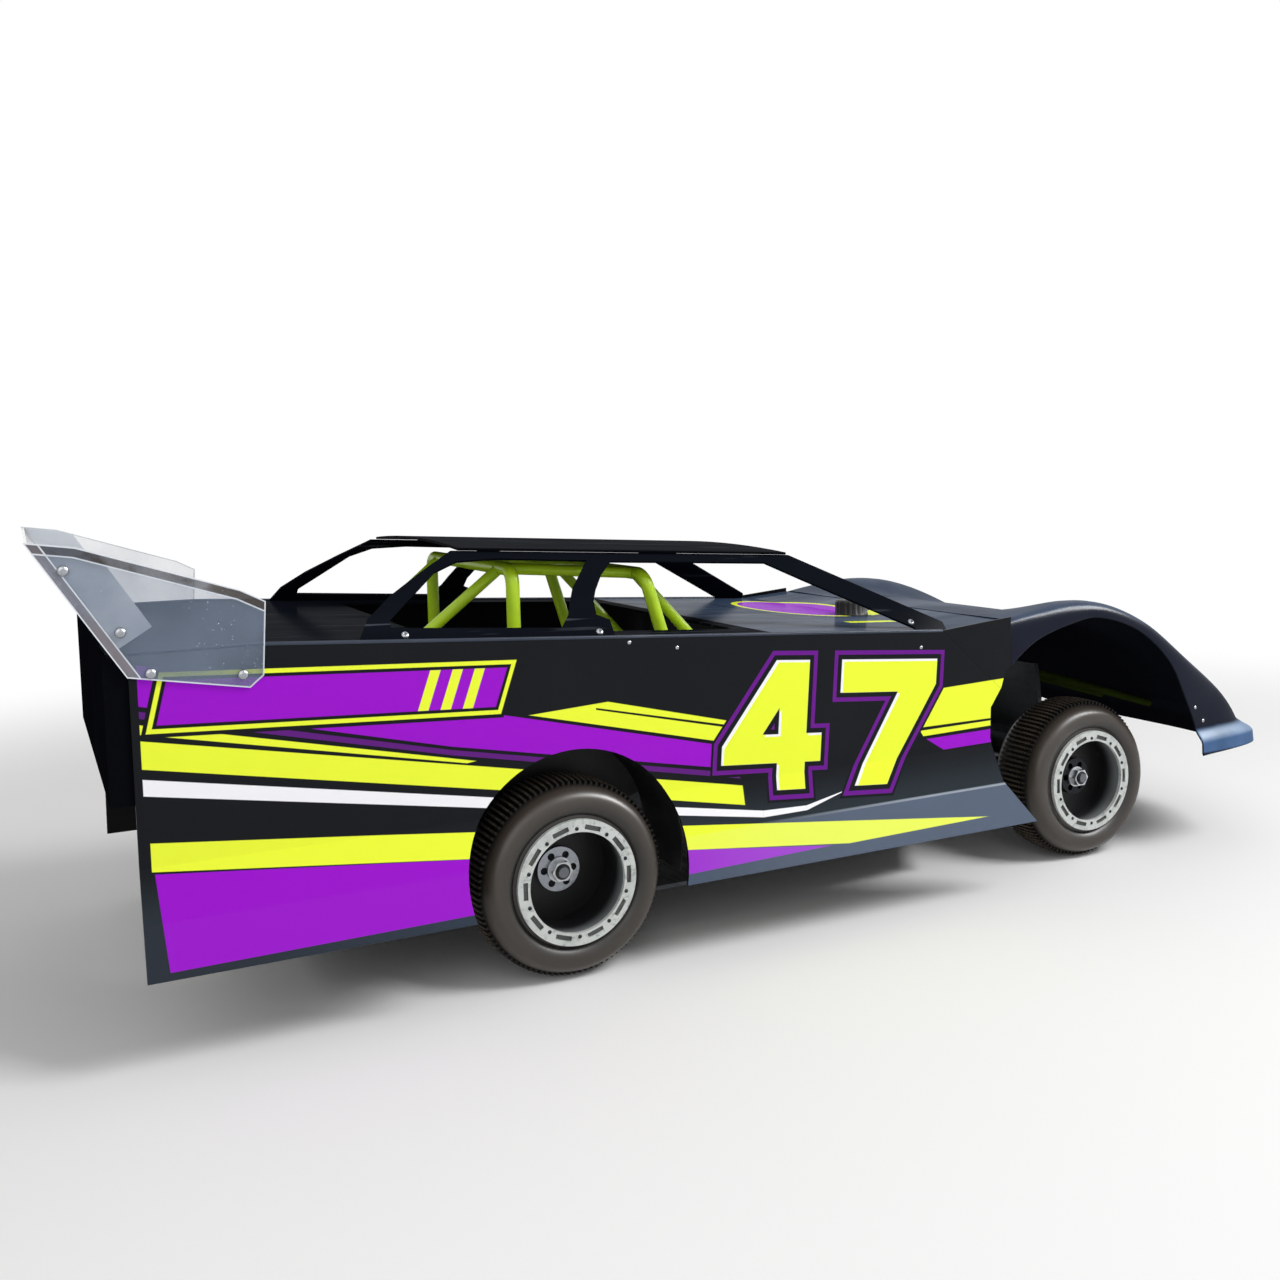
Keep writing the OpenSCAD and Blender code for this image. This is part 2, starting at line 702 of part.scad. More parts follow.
// Nose: a grid of points on the outer face, the same grid moved inward, and the rims between them.
module nose() {
    rows = nose_rows + 1;
    cols = 2 * nose_cols + 1;
    count = rows * cols;
    outer = [for (i = [0:nose_rows], j = [-nose_cols:nose_cols]) nose_point(i / nose_rows, j / nose_cols)];
    inner = [for (i = [0:nose_rows], j = [-nose_cols:nose_cols])
        nose_point(i / nose_rows, j / nose_cols) - nose_t * nose_normal(i / nose_rows, j / nose_cols)];
    faces = [for (i = [0:nose_rows - 1], j = [0:cols - 2])
        let (a = i * cols + j, b = a + 1, c = a + cols + 1, d = a + cols)
        each [[a, b, c], [a, c, d], [count + a, count + c, count + b], [count + a, count + d, count + c]]];
    ends = [for (j = [0:cols - 2]) let (a = j, b = (rows - 1) * cols + j)
        each [[a, count + a, count + a + 1], [a, count + a + 1, a + 1],
              [b, b + 1, count + b + 1], [b, count + b + 1, count + b]]];
    sides = [for (i = [0:nose_rows - 1]) let (a = i * cols, b = i * cols + cols - 1)
        each [[a, a + cols, count + a + cols], [a, count + a + cols, count + a],
              [b, count + b, count + b + cols], [b, count + b + cols, b + cols]]];
    color("black") placed() polyhedron(concat(outer, inner), concat(faces, ends, sides), convexity = 6);
}

// Wheels

// Rim with its bead ring and web. The profile's y runs outward, 0 at the ring's face.
module rim(x, face_y, width, depth, bore) {
    color("gray") placed() difference() {
        turned(x, face_y) union() {
            translate([rim_r, -width]) square([rim_wall, width]);
            translate([ring_r, -ring_t]) square([ring_w, ring_t]);
            translate([rim_r, -width]) square([ring_w * flange_share, ring_t]);
            translate([bore, -depth - hub_t - web_t]) square([rim_r + rim_wall - bore, web_t]);
        }
        translate([x, face_y, tyre_r]) rotate([-90, 0, 0]) for (i = [0:recess_count - 1])
            rotate([0, 0, i * 360 / recess_count])
                translate([ring_r + recess_in, -recess_l / 2, -recess_depth])
                    cube([recess_w, recess_l, recess_depth + overrun]);
    }
}

// Tyre with a flat crown and round shoulders that bulge down to the beads, which seat behind the ring.
module tyre(x, face_y, width) {
    inner = barrel_r + run_gap;
    bead_in = ring_t + seat_gap;
    color("black") placed() turned(x, face_y) union() {
        translate([inner, -width + shoulder_r]) square([tyre_r - inner, width - 2 * shoulder_r]);
        translate([inner, -width + bead_in]) square([tyre_r - inner - shoulder_r, width - 2 * bead_in]);
        for (y = [-shoulder_r, shoulder_r - width])
            translate([tyre_r - shoulder_r, y]) circle(r = shoulder_r);
    }
}

module hub(x, face_y, depth, boss_in, bore) {
    color("black") placed() translate([x, face_y - depth, tyre_r]) rotate([-90, 0, 0]) difference() {
        union() {
            translate([0, 0, -hub_t + hub_gap_y]) cylinder(h = hub_t - hub_gap_y, d = hub_d);
            translate([0, 0, -boss_in]) cylinder(h = boss_in, r = boss_r);
        }
        translate([0, 0, -boss_in - overrun]) cylinder(h = boss_in + 2 * overrun, r = bore);
        for (i = [0:hub_holes - 1]) rotate([0, 0, i * 360 / hub_holes])
            translate([hub_hole_circle / 2, 0, -hub_t - overrun / 2])
                cylinder(h = hub_t + overrun, d = hub_hole_d);
    }
}

// Axle nut with its flange, outward from z = 0.
module axle_nut() {
    cylinder(h = nut_flange_t, r = nut_flange_r);
    translate([0, 0, nut_flange_t]) cylinder(h = nut_t, d = nut_af / cos(30), $fn = 6);
}

rear_hub_y = rear_face_y - rear_hub_depth;
front_hub_y = front_face_y - front_hub_depth;
rear_boss = rear_hub_y - carrier_y - carrier_t / 2 - hub_gap_y;
front_boss = front_hub_y - pin_y - barrel_d / 2 - 2 * pin_proud;
nut_reach = nut_flange_t + nut_t + axle_end;

module rear_shaft() {
    half = rear_hub_y + hub_gap_y + nut_reach;
    color("silver") placed() translate([0, 0, tyre_r]) rotate([-90, 0, 0]) {
        translate([0, 0, -half]) cylinder(h = 2 * half, r = axle_r);
        for (turn = [0, 180]) rotate([turn, 0, 0]) translate([0, 0, rear_hub_y + hub_gap_y]) axle_nut();
    }
}

module drive_gear() {
    color("gray") placed() translate([0, gear_y - gear_t / 2, tyre_r]) rotate([-90, 0, 0]) difference() {
        cylinder(h = gear_t, r = gear_r);
        translate([0, 0, -overrun]) cylinder(h = gear_t + 2 * overrun, r = axle_r + run_gap);
    }
}

module rear_rim_right() { on_side(true) rear_rim_left(); }
module rear_rim_left() { rim(0, rear_face_y, rear_tyre_w, rear_hub_depth, boss_r + run_gap); }
module rear_tyre_right() { on_side(true) rear_tyre_left(); }
module rear_tyre_left() { tyre(0, rear_face_y, rear_tyre_w); }
module rear_hub_right() { on_side(true) rear_hub_left(); }
module rear_hub_left() { hub(0, rear_face_y, rear_hub_depth, rear_boss, axle_r + run_gap); }

module front_rim_right() { on_side(true) front_rim_left(); }
module front_rim_left() { rim(front_axle, front_face_y, front_tyre_w, front_hub_depth, boss_r + run_gap); }
module front_tyre_right() { on_side(true) front_tyre_left(); }
module front_tyre_left() { tyre(front_axle, front_face_y, front_tyre_w); }
module front_hub_right() { on_side(true) front_hub_left(); }
module front_hub_left() { hub(front_axle, front_face_y, front_hub_depth, front_boss, axle_r + run_gap); }

// Steering

tower_outline = [
    [plate_nose_half_w, plate_top], [plate_nose_half_w, tower_shoulder_z], [tower_top_half_w, tower_z]];

module front_arms() {
    color("dimgray") placed() translate([front_axle, 0, 0]) difference() {
        union() {
            forward(tower_ahead, tower_ahead + tower_t) polygon(concat(tower_outline,
                [for (i = [len(tower_outline) - 1:-1:0]) [-tower_outline[i][0], tower_outline[i][1]]]));
            for (level = [[plate_top, lower_arm_t], [upper_arm_z, upper_arm_t]])
                translate([0, 0, level[0]]) {
                    translate([-arm_half_w, -pin_y, 0]) cube([2 * arm_half_w, 2 * pin_y, level[1]]);
                    for (side = [-1, 1]) translate([0, side * pin_y, 0])
                        cylinder(h = level[1], r = arm_half_w);
                }
            for (side = [-1, 1]) translate([0, side * post_y, plate_top])
                cylinder(h = upper_arm_z - plate_top + upper_arm_t, r = post_r);
        }
        for (side = [-1, 1]) translate([0, side * pin_y, plate_top - overrun])
            cylinder(h = upper_arm_z + 2 * overrun, r = pin_r + run_gap);
    }
}

module steering_servo() {
    color("black") placed() translate([front_axle, 0, lower_arm_top]) {
        translate([-servo_l / 2, -servo_w / 2, 0]) cube([servo_l, servo_w, servo_h]);
        cylinder(h = link_z - lower_arm_top - seat_gap, r = servo_boss_r);
        cylinder(h = link_z - lower_arm_top + link_t + pin_proud, r = pin_r);
    }
}

// Steering lever from its pivot back to the track rod's pin, which stands up.
module lever() {
    translate([0, 0, link_z]) {
        translate([-arm_l, -link_w / 2, 0]) cube([arm_l, link_w, link_t]);
        translate([-arm_l, 0, 0]) cylinder(h = link_t, d = link_w);
        translate([-arm_l, 0, 0])
            cylinder(h = link_t + seat_gap + rod_eye_h + pin_proud / 2, r = rod_pin_r);
        cylinder(h = link_t, d = link_w);
    }
}

module servo_horn() {
    color("silver") placed() translate([front_axle, 0, 0]) difference() {
        lever();
        translate([0, 0, link_z - overrun]) cylinder(h = link_t + 2 * overrun, r = pin_r + run_gap);
    }
}

module knuckle(right) {
    bottom = lower_arm_top + seat_gap;
    color("silver") placed() on_side(right) translate([front_axle, pin_y, 0]) {
        translate([0, 0, bottom]) cylinder(h = upper_arm_z - seat_gap - bottom, d = barrel_d);
        translate([0, 0, plate_top]) cylinder(h = upper_arm_z + upper_arm_t - plate_top, r = pin_r);
        lever();
        translate([0, 0, tyre_r]) rotate([-90, 0, 0]) {
            cylinder(h = barrel_d / 2 + pin_proud, r = boss_r);
            cylinder(h = front_hub_y + hub_gap_y + nut_reach - pin_y, r = axle_r);
            translate([0, 0, front_hub_y + hub_gap_y - pin_y]) axle_nut();
        }
    }
}
module knuckle_right() { knuckle(true); }
module knuckle_left() { knuckle(false); }

module tie_rod() {
    color("silver") placed() translate([front_axle - arm_l, 0, link_z + link_t + seat_gap]) difference() {
        union() {
            translate([0, -pin_y, rod_eye_h / 2]) rotate([-90, 0, 0]) cylinder(h = 2 * pin_y, d = rod_d);
            for (side = [-1, 0, 1]) translate([0, side * pin_y, 0]) cylinder(h = rod_eye_h, d = link_w);
        }
        for (side = [-1, 0, 1]) translate([0, side * pin_y, -overrun])
            cylinder(h = rod_eye_h + 2 * overrun, r = rod_pin_r + run_gap);
    }
}

chassis_plate();
engine_block();
fuel_tank();
radio_box();
axle_carriers();
front_arms();
steering_servo();
roll_cage();
body_mounts();
nose_brace();
side_panel_right();
side_panel_left();
fender_panel_right();
fender_panel_left();
deck();
hood();
roof();
window_frame_right();
window_frame_left();
tail_panel();
spoiler_blade();
spoiler_side_right();
spoiler_side_left();
spoiler_brackets();
nose();
rear_shaft();
drive_gear();
rear_rim_right();
rear_rim_left();
rear_tyre_right();
rear_tyre_left();
rear_hub_right();
rear_hub_left();
knuckle_right();
knuckle_left();
front_rim_right();
front_rim_left();
front_tyre_right();
front_tyre_left();
front_hub_right();
front_hub_left();
tie_rod();
servo_horn();
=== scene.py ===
"""Looks for a quarter-scale radio-controlled dirt-oval race car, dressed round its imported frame.

Lengths are metres in the frame of the solids: +X is forward, +Y is left, +Z is up, and the origin is on
the ground under the middle of the car. Tables marked mm give millimetres, with x from the rear axle.
"""

import json
import logging
import math
from dataclasses import dataclass, field
from enum import Enum
from functools import reduce
from typing import Any, Callable, Mapping, Optional, Sequence, Union

import bpy
import numpy as np
from mathutils import Matrix, Vector


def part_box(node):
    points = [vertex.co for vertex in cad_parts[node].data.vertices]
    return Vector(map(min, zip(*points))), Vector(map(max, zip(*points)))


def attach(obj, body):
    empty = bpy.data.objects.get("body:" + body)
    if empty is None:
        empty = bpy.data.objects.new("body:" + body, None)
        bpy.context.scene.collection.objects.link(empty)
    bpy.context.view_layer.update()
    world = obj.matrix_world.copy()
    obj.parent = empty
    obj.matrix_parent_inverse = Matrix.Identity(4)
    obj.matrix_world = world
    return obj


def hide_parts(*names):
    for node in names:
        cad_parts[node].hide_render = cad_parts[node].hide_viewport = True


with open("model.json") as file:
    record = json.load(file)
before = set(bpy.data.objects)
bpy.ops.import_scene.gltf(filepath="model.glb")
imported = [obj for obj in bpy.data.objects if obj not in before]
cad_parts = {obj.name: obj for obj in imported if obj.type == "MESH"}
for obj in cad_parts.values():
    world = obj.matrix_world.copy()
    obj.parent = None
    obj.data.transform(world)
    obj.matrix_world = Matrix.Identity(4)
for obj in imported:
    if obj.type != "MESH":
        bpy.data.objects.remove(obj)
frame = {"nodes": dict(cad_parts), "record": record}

log = logging.getLogger("race_car")

MM = 0.001
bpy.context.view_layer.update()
Colour = tuple[float, float, float, float]
Point = tuple[float, float]
Place = tuple[float, float, float]
Outline = tuple[Point, ...]
ACROSS = np.array([0.0, 1.0, 0.0])

# Where the deck bends down, mm from the rear axle, and its slope after that in degrees.
DECK_BEND = -265.0
DECK_SLOPE = 3.5


def middle(node: str) -> Vector:
    """Middle of a solid's box at rest."""
    low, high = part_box(node)
    return (low + high) / 2


REAR_AXLE = middle("rear_tyre_right")
FRONT_AXLE = middle("front_tyre_right")


def ink(code: str) -> Colour:
    """Linear colour of six hexadecimal digits, by the screen's own curve."""
    shown = np.array([int(code[i:i + 2], 16) for i in (0, 2, 4)]) / 255.0
    linear = np.where(shown <= 0.04045, shown / 12.92, ((shown + 0.055) / 1.055) ** 2.4)
    return (*linear.tolist(), 1.0)


def from_axle(points: Any) -> np.ndarray:
    """Metres of points in mm that have x from the rear axle."""
    placed = np.array(points, float) * MM
    placed[..., 0] += REAR_AXLE.x
    return placed


class Side(Enum):
    """Side of the car, with the sign of its y."""

    RIGHT = -1
    LEFT = 1

    def named(self, name: str) -> str:
        """A name with the side's after it."""
        return f"{name}_{self.name.lower()}"

    def placed(self, points: Any) -> np.ndarray:
        """Metres of points in mm: x from the rear axle, size of y on this side, and z."""
        return from_axle(np.array(points, float) * (1, self.value, 1))


# Each wheel: end of the car, side, and the body that it turns with.
WHEELS: tuple[tuple[str, Side, str], ...] = (
    ("rear", Side.RIGHT, "rear_axle"), ("rear", Side.LEFT, "rear_axle"),
    ("front", Side.RIGHT, "right_front_wheel"), ("front", Side.LEFT, "left_front_wheel"))


def math_method(operation: str, swapped: bool = False) -> Callable[..., "Socket"]:
    """A method of Socket that adds one Math node.

    Args:
        operation: the node's operation.
        swapped: whether the socket comes after the other value.

    Returns:
        The method, on the socket and any other values.
    """
    def method(self: "Socket", *others: Any) -> "Socket":
        """Adds the node."""
        values = (*others, self) if swapped else (self, *others)
        return self.graph.node("ShaderNodeMath", {"operation": operation}, dict(enumerate(values)))

    return method


class Socket:
    """A shader value that Python's operators turn into Math nodes."""

    def __init__(self, graph: "Graph", link: Optional[bpy.types.NodeSocket]) -> None:
        """Keeps the node tree and the output that holds the value."""
        self.graph = graph
        self.link = link

    __add__ = __radd__ = math_method("ADD")
    __sub__ = math_method("SUBTRACT")
    __rsub__ = math_method("SUBTRACT", swapped=True)
    __mul__ = __rmul__ = math_method("MULTIPLY")
    __truediv__ = math_method("DIVIDE")
    __pow__ = math_method("POWER")
    __abs__ = math_method("ABSOLUTE")
    least = math_method("MINIMUM")
    most = math_method("MAXIMUM")
    sign = math_method("SIGN")
    sine = math_method("SINE")

    def ramp(self, low: float, high: float, start: float = 0.0, end: float = 1.0) -> "Socket":
        """Smooth step between two results, from the start at the low value to the end at the high one."""
        return self.graph.node(
            "ShaderNodeMapRange", {"interpolation_type": "SMOOTHSTEP"},
            {"Value": self, "From Min": low, "From Max": high, "To Min": start, "To Max": end})

    def fall(self, low: float, high: float) -> "Socket":
        """Smooth step from one down to nought."""
        return self.ramp(low, high, start=1.0, end=0.0)


Value = Union[float, Socket]


class Graph:
    """A node tree being written."""

    def __init__(self, tree: bpy.types.NodeTree) -> None:
        """Starts from an empty tree."""
        self.tree = tree
        tree.nodes.clear()

    def node(self, kind: str, settings: Optional[Mapping[str, Any]] = None,
             inputs: Optional[Mapping[Any, Any]] = None, output: Any = 0) -> Socket:
        """Adds a node.

        Args:
            kind: the node's type.
            settings: the node's own options, set first.
            inputs: values or links by socket name or number.
            output: name or number of the output that is wanted.

        Returns:
            That output.
        """
        made = self.tree.nodes.new(kind)
        for key, value in (settings or {}).items():
            setattr(made, key, value)
        for key, value in (inputs or {}).items():
            if isinstance(value, Socket):
                self.tree.links.new(value.link, made.inputs[key])
            else:
                made.inputs[key].default_value = value
        return Socket(self, made.outputs[output]) if len(made.outputs) else Socket(self, None)

    def place(self) -> Socket:
        """Object coordinates in metres."""
        return self.node("ShaderNodeTexCoord", output="Object")

    def split(self, vector: Socket) -> tuple[Socket, Socket, Socket]:
        """The three numbers of a vector."""
        parts = self.node("ShaderNodeSeparateXYZ", inputs={0: vector})
        outputs = parts.link.node.outputs
        return tuple(Socket(self, outputs[i]) for i in range(3))

    def join(self, x: Value, y: Value, z: Value) -> Socket:
        """A vector of three numbers."""
        return self.node("ShaderNodeCombineXYZ", inputs={0: x, 1: y, 2: z})

    def vector(self, operation: str, *values: Any, output: int = 0) -> Socket:
        """One Vector Math node."""
        return self.node("ShaderNodeVectorMath", {"operation": operation}, dict(enumerate(values)), output)

    def mm_from_axle(self) -> tuple[Socket, Socket, Socket]:
        """Millimetres along, across and up, with x from the rear axle."""
        shift = (-REAR_AXLE.x / MM, 0.0, 0.0)
        return self.split(self.vector("MULTIPLY_ADD", self.place(), (1 / MM,) * 3, shift))

    def facing(self) -> tuple[Socket, Socket, Socket]:
        """The surface's normal in Object coordinates."""
        return self.split(self.node("ShaderNodeTexCoord", output="Normal"))

    def noise(self, scale: float, detail: float, stretch: Optional[Sequence[float]] = None) -> Socket:
        """Noise on Object coordinates.

        Args:
            scale: cells per metre.
            detail: octaves.
            stretch: factors on x, y and z, for a grain.

        Returns:
            A value about one half.
        """
        where = self.place()
        if stretch is not None:
            where = self.vector("MULTIPLY", where, tuple(stretch))
        return self.node("ShaderNodeTexNoise", {"noise_dimensions": "3D"},
                         {"Vector": where, "Scale": scale, "Detail": detail, "Roughness": 0.55}, "Fac")

    def mix(self, share: Value, first: Any, second: Any) -> Socket:
        """Mixes two colours, from the first at share 0 to the second at share 1."""
        return self.node("ShaderNodeMix", {"data_type": "RGBA", "clamp_factor": True},
                         {0: share, 6: first, 7: second}, 2)

    def bump(self, height: Socket, strength: float, distance: float) -> Socket:
        """Bumped normal from a height, with its depth in metres."""
        return self.node("ShaderNodeBump",
                         inputs={"Height": height, "Strength": strength, "Distance": distance})

    def principled(self, **inputs: Any) -> None:
        """Ends the tree in a Principled shader.

        Args:
            inputs: socket names with _ for a space.
        """
        named = {key.replace("_", " "): value for key, value in inputs.items()}
        shader = self.node("ShaderNodeBsdfPrincipled", inputs=named)
        self.node("ShaderNodeOutputMaterial", inputs={"Surface": shader})


# Finishes


@dataclass(frozen=True)
class Finish:
    """A finish: a node material that is made once, under its name."""

    name: str

    def material(self) -> bpy.types.Material:
        """The material, made on first use."""
        made = bpy.data.materials.get(self.name)
        if made is None:
            made = bpy.data.materials.new(self.name)
            made.use_nodes = True
            self.paint(Graph(made.node_tree))
        return made

    def paint(self, graph: Graph) -> None:
        """Writes the nodes."""
        raise NotImplementedError


YELLOW = ink("ECF93C")
PURPLE = ink("9A14CB")
DEEP_PURPLE = ink("5F1F7C")
WHITE = ink("F4F4F8")
BLACK = ink("15171B")
NUMBER_LINE = ink("6A1B8C")


@dataclass(frozen=True)
class Patch:
    """A flat colour inside a convex outline on the side of the car, in mm: x from the rear axle, z."""

    colour: Colour
    corners: Outline


BANDS: tuple[Patch, ...] = (
    Patch(PURPLE, ((-360, 321), (-40, 245), (168, 195), (156, 176.5), (-113, 229), (-360, 289))),
    Patch(DEEP_PURPLE, ((-360, 285), (-113, 226), (-113, 221.5), (-360, 279.5))),
    Patch(DEEP_PURPLE, ((-113, 226), (170, 170), (170, 165), (-113, 221.5))),
    Patch(YELLOW, ((-360, 274.5), (-92, 214), (-100, 213), (-360, 267))),
    Patch(YELLOW, ((-360, 262), (172, 158), (172, 140), (-360, 240))),
    Patch(WHITE, ((-360, 232), (94, 148.4), (94, 141), (-360, 219))),
    Patch(WHITE, ((94, 148.4), (191, 132.2), (191, 126), (94, 141))),
    Patch(WHITE, ((191, 132.2), (240, 130.6), (240, 126.2), (191, 126))),
    Patch(WHITE, ((240, 130.6), (292, 140), (240, 126.2))),
    Patch(YELLOW, ((-357, 181.5), (459, 90.6), (284, 88.7), (-357, 159))),
    Patch(PURPLE, ((-355, 157), (-100, 130.5), (-100, 85), (-349, 83))),
    Patch(PURPLE, ((96, 109.2), (264, 89.6), (96, 86.5))),
    Patch(YELLOW, ((-42, 248.5), (34, 252.8), (158, 222), (176, 202), (168, 198.6))),
    Patch(BLACK, ((22, 248.4), (160, 217.5), (160, 215), (22, 246.6))),
    Patch(YELLOW, ((398, 228), (502, 231.5), (502, 190.5), (376, 190.4))),
    Patch(YELLOW, ((384, 187), (502, 188.2), (502, 183), (388, 181))),
    Patch(PURPLE, ((392, 177.6), (502, 179), (502, 165), (414, 164))),
)

# Long slanted plate on the quarter panel, with three slashes at its front end, mm.
PLATE: Outline = ((-344, 314), (-52, 298.5), (-68, 252.5), (-356, 267))
SLASHES: tuple[Outline, ...] = tuple(
    ((x, 300.4), (x + 9, 299.9), (x - 6, 258), (x - 15, 258.5)) for x in (-128, -108, -88))

# Strokes of the two digits, mm from the number's middle, each convex.
STROKES: tuple[Outline, ...] = (
    ((-61, -63), (-29, -63), (-29, 63), (-61, 63)),
    ((-123, -37), (-11, -37), (-11, -9), (-116, -9), (-123, -19)),
    ((-123, -30), (-93.6, -30), (-45, 40), (-45, 63), (-67, 63), (-123, -19)),
    ((9, 30), (110, 30), (127, 44), (127, 63), (9, 63)),
    ((29, -63), (68, -63), (127, 37), (127, 50), (90, 50)),
)
NUMBER_MIDDLE: Point = (275, 207)
NUMBER_FALL = 4.5


def inside(graph: Graph, flat: Socket, corners: Sequence[Point]) -> Socket:
    """Distance inward from the nearest side of a convex outline, in mm.

    Each side gives a half-plane distance, the dot product of (u, v, 1) with the side's unit normal
    and offset, and the outline's distance is the least of them.

    Args:
        graph: the tree.
        flat: the vector (u, v, 1).
        corners: the outline, either way round.

    Returns:
        The distance, below nought outside.
    """
    points = np.array(corners, float)
    following = np.roll(points, -1, axis=0)
    area = float(np.sum(points[:, 0] * following[:, 1] - following[:, 0] * points[:, 1]))
    if area < 0:
        points = points[::-1]
        following = np.roll(points, -1, axis=0)
    run = following - points
    normal = np.stack([-run[:, 1], run[:, 0]], 1) / np.linalg.norm(run, axis=1)[:, None]
    offset = -np.sum(normal * points, axis=1)
    sides = np.column_stack([normal, offset]).tolist()
    return reduce(Socket.least, [graph.vector("DOT_PRODUCT", flat, tuple(row), output=1) for row in sides])


def union(graph: Graph, flat: Socket, shapes: Sequence[Sequence[Point]]) -> Socket:
    """Distance inward from a set of convex outlines: the greatest of their distances."""
    return reduce(Socket.most, [inside(graph, flat, shape) for shape in shapes])


@dataclass(frozen=True)
class PrintedWrap(Finish):
    """Printed vinyl on the side panels, mm: sweeping bands, a slanted plate, a two-digit number, and
    painted light at the fold.
    """

    edge: float = 0.3
    # Height of the fold, mm: a painted reflection lies below it and a painted highlight along it.
    fold: float = 120.5
    shade: Point = (2.6, 2.2)
    # Depth inside the outline from which each colour shows.
    plate_lines: tuple[tuple[float, Colour], ...] = (
        (-3.2, BLACK), (0.0, YELLOW), (3.6, BLACK), (6.4, PURPLE))
    digit_lines: tuple[tuple[float, Colour], ...] = (
        (-11.5, BLACK), (-9.0, NUMBER_LINE), (-4.8, BLACK), (0.0, WHITE))

    def over(self, graph: Graph, colour: Any, distance: Socket, *lines: tuple[float, Colour]) -> Socket:
        """Paints colours over another, each from its depth inside an outline."""
        for depth, paint in lines:
            colour = graph.mix(distance.ramp(depth - self.edge, depth + self.edge), colour, paint)
        return colour

    def paint(self, graph: Graph) -> None:
        """Bands first, then the plate, then the number over them, all on the outer face alone."""
        x, y, z = graph.mm_from_axle()
        flat = graph.join(x, z, 1.0)
        handled = graph.noise(7.0, 4.0)
        flared = z.fall(self.fold - 2.0, self.fold + 0.5)
        # Painted sheen: the black turns a lighter grey towards the fold.
        colour: Any = graph.mix(z.ramp(self.fold, self.fold + 44.0, 0.85, 0.0), BLACK, ink("2B333A"))
        # Painted reflection: below the fold the flare turns blue-grey, bluer towards the front, for blue
        # skylight on the gloss.
        painted_sky_reflection = graph.mix(x.ramp(-320.0, 120.0), ink("272D37"), ink("3B4B63"))
        colour = graph.mix(flared * handled.ramp(0.3, 0.7, 0.65, 0.95), colour, painted_sky_reflection)
        for patch in BANDS:
            colour = self.over(graph, colour, inside(graph, flat, patch.corners), (0.0, patch.colour))
        # Painted highlight: a pale line along the fold and a pale tint over the flare, both towards the
        # front.
        crest = abs(z - self.fold).fall(0.5, 1.7) * x.ramp(120.0, 420.0)
        colour = graph.mix(crest * 0.5 + flared * x.ramp(-40.0, 260.0, 0.0, 0.1), colour, ink("C6D0E0"))
        plate = inside(graph, flat, PLATE)
        colour = self.over(graph, colour, plate, *self.plate_lines)
        slash = union(graph, flat, SLASHES).least(plate - self.plate_lines[-1][0])
        colour = self.over(graph, colour, slash, (0.0, YELLOW))
        # The number reads the right way round on both sides, and falls towards the front with the deck.
        fall = math.radians(NUMBER_FALL)
        ahead, above = x - NUMBER_MIDDLE[0], z - NUMBER_MIDDLE[1]
        rise = ahead * math.sin(fall) + above * math.cos(fall)
        across = (above * math.sin(fall) - ahead * math.cos(fall)) * y.sign()
        digits = union(graph, graph.join(across, rise, 1.0), STROKES)
        shade = union(graph, graph.join(across - self.shade[0], rise + self.shade[1], 1.0), STROKES)
        colour = self.over(graph, colour, digits, *self.digit_lines)
        colour = self.over(graph, colour, digits.least(shade), (0.0, YELLOW))
        colour = graph.mix(handled.ramp(0.5, 0.8, 0.0, 0.012), colour, ink("8A8378"))
        outer = (graph.facing()[1] * y.sign()).ramp(0.1, 0.5)
        colour = graph.mix(outer, ink("0B0C0E"), colour)
        graph.principled(
            Base_Color=colour, Roughness=handled.ramp(0.3, 0.8, 0.3, 0.42), Specular_IOR_Level=0.05,
            Coat_Weight=handled.ramp(0.3, 0.8, 0.07, 0.03) + flared * 0.12, Coat_Roughness=0.1,
            Normal=graph.bump(graph.noise(240.0, 2.0), 0.1, 0.0004))


@dataclass(frozen=True)
class GlossSheet(Finish):
    """Dark gloss body sheet with faint wipe marks."""

    # The navy tint of the dark tone is a painted reflection of blue skylight.
    tone: Colour = ink("0E1118")
    haze: Colour = ink("343B49")
    hazy: float = 0.12
    rough: float = 0.16
    coat: float = 0.03
    scuffed: float = 0.22

    def colour(self, graph: Graph) -> Any:
        """Sheet colour with a haze in wiped streaks: faint dust on a plain sheet, a stronger painted
        reflection on the hood and a painted highlight on the hem.
        """
        streak = graph.noise(11.0, 5.0, (0.3, 1.0, 1.0))
        base = graph.mix(streak.ramp(0.5, 0.85, 0.0, self.hazy), self.tone, self.haze)
        scuff = graph.noise(120.0, 2.0, (0.04, 1.0, 1.0)).ramp(0.61, 0.68) * streak.ramp(0.42, 0.58)
        return graph.mix(scuff * self.scuffed, base, ink("7B818E"))

    def paint(self, graph: Graph) -> None:
        """Thin gloss over a wavy film, rougher where it was wiped."""
        wiped = graph.noise(30.0, 4.0, (0.25, 1.0, 1.0))
        wave = graph.noise(26.0, 1.0)
        graph.principled(
            Base_Color=self.colour(graph), Roughness=wiped.ramp(0.3, 0.8, self.rough, self.rough + 0.16),
            Specular_IOR_Level=0.0, Coat_Weight=wiped.ramp(0.35, 0.75, self.coat, 0.6 * self.coat),
            Coat_Roughness=0.12, Normal=graph.bump(wave, 0.16, 0.0015))


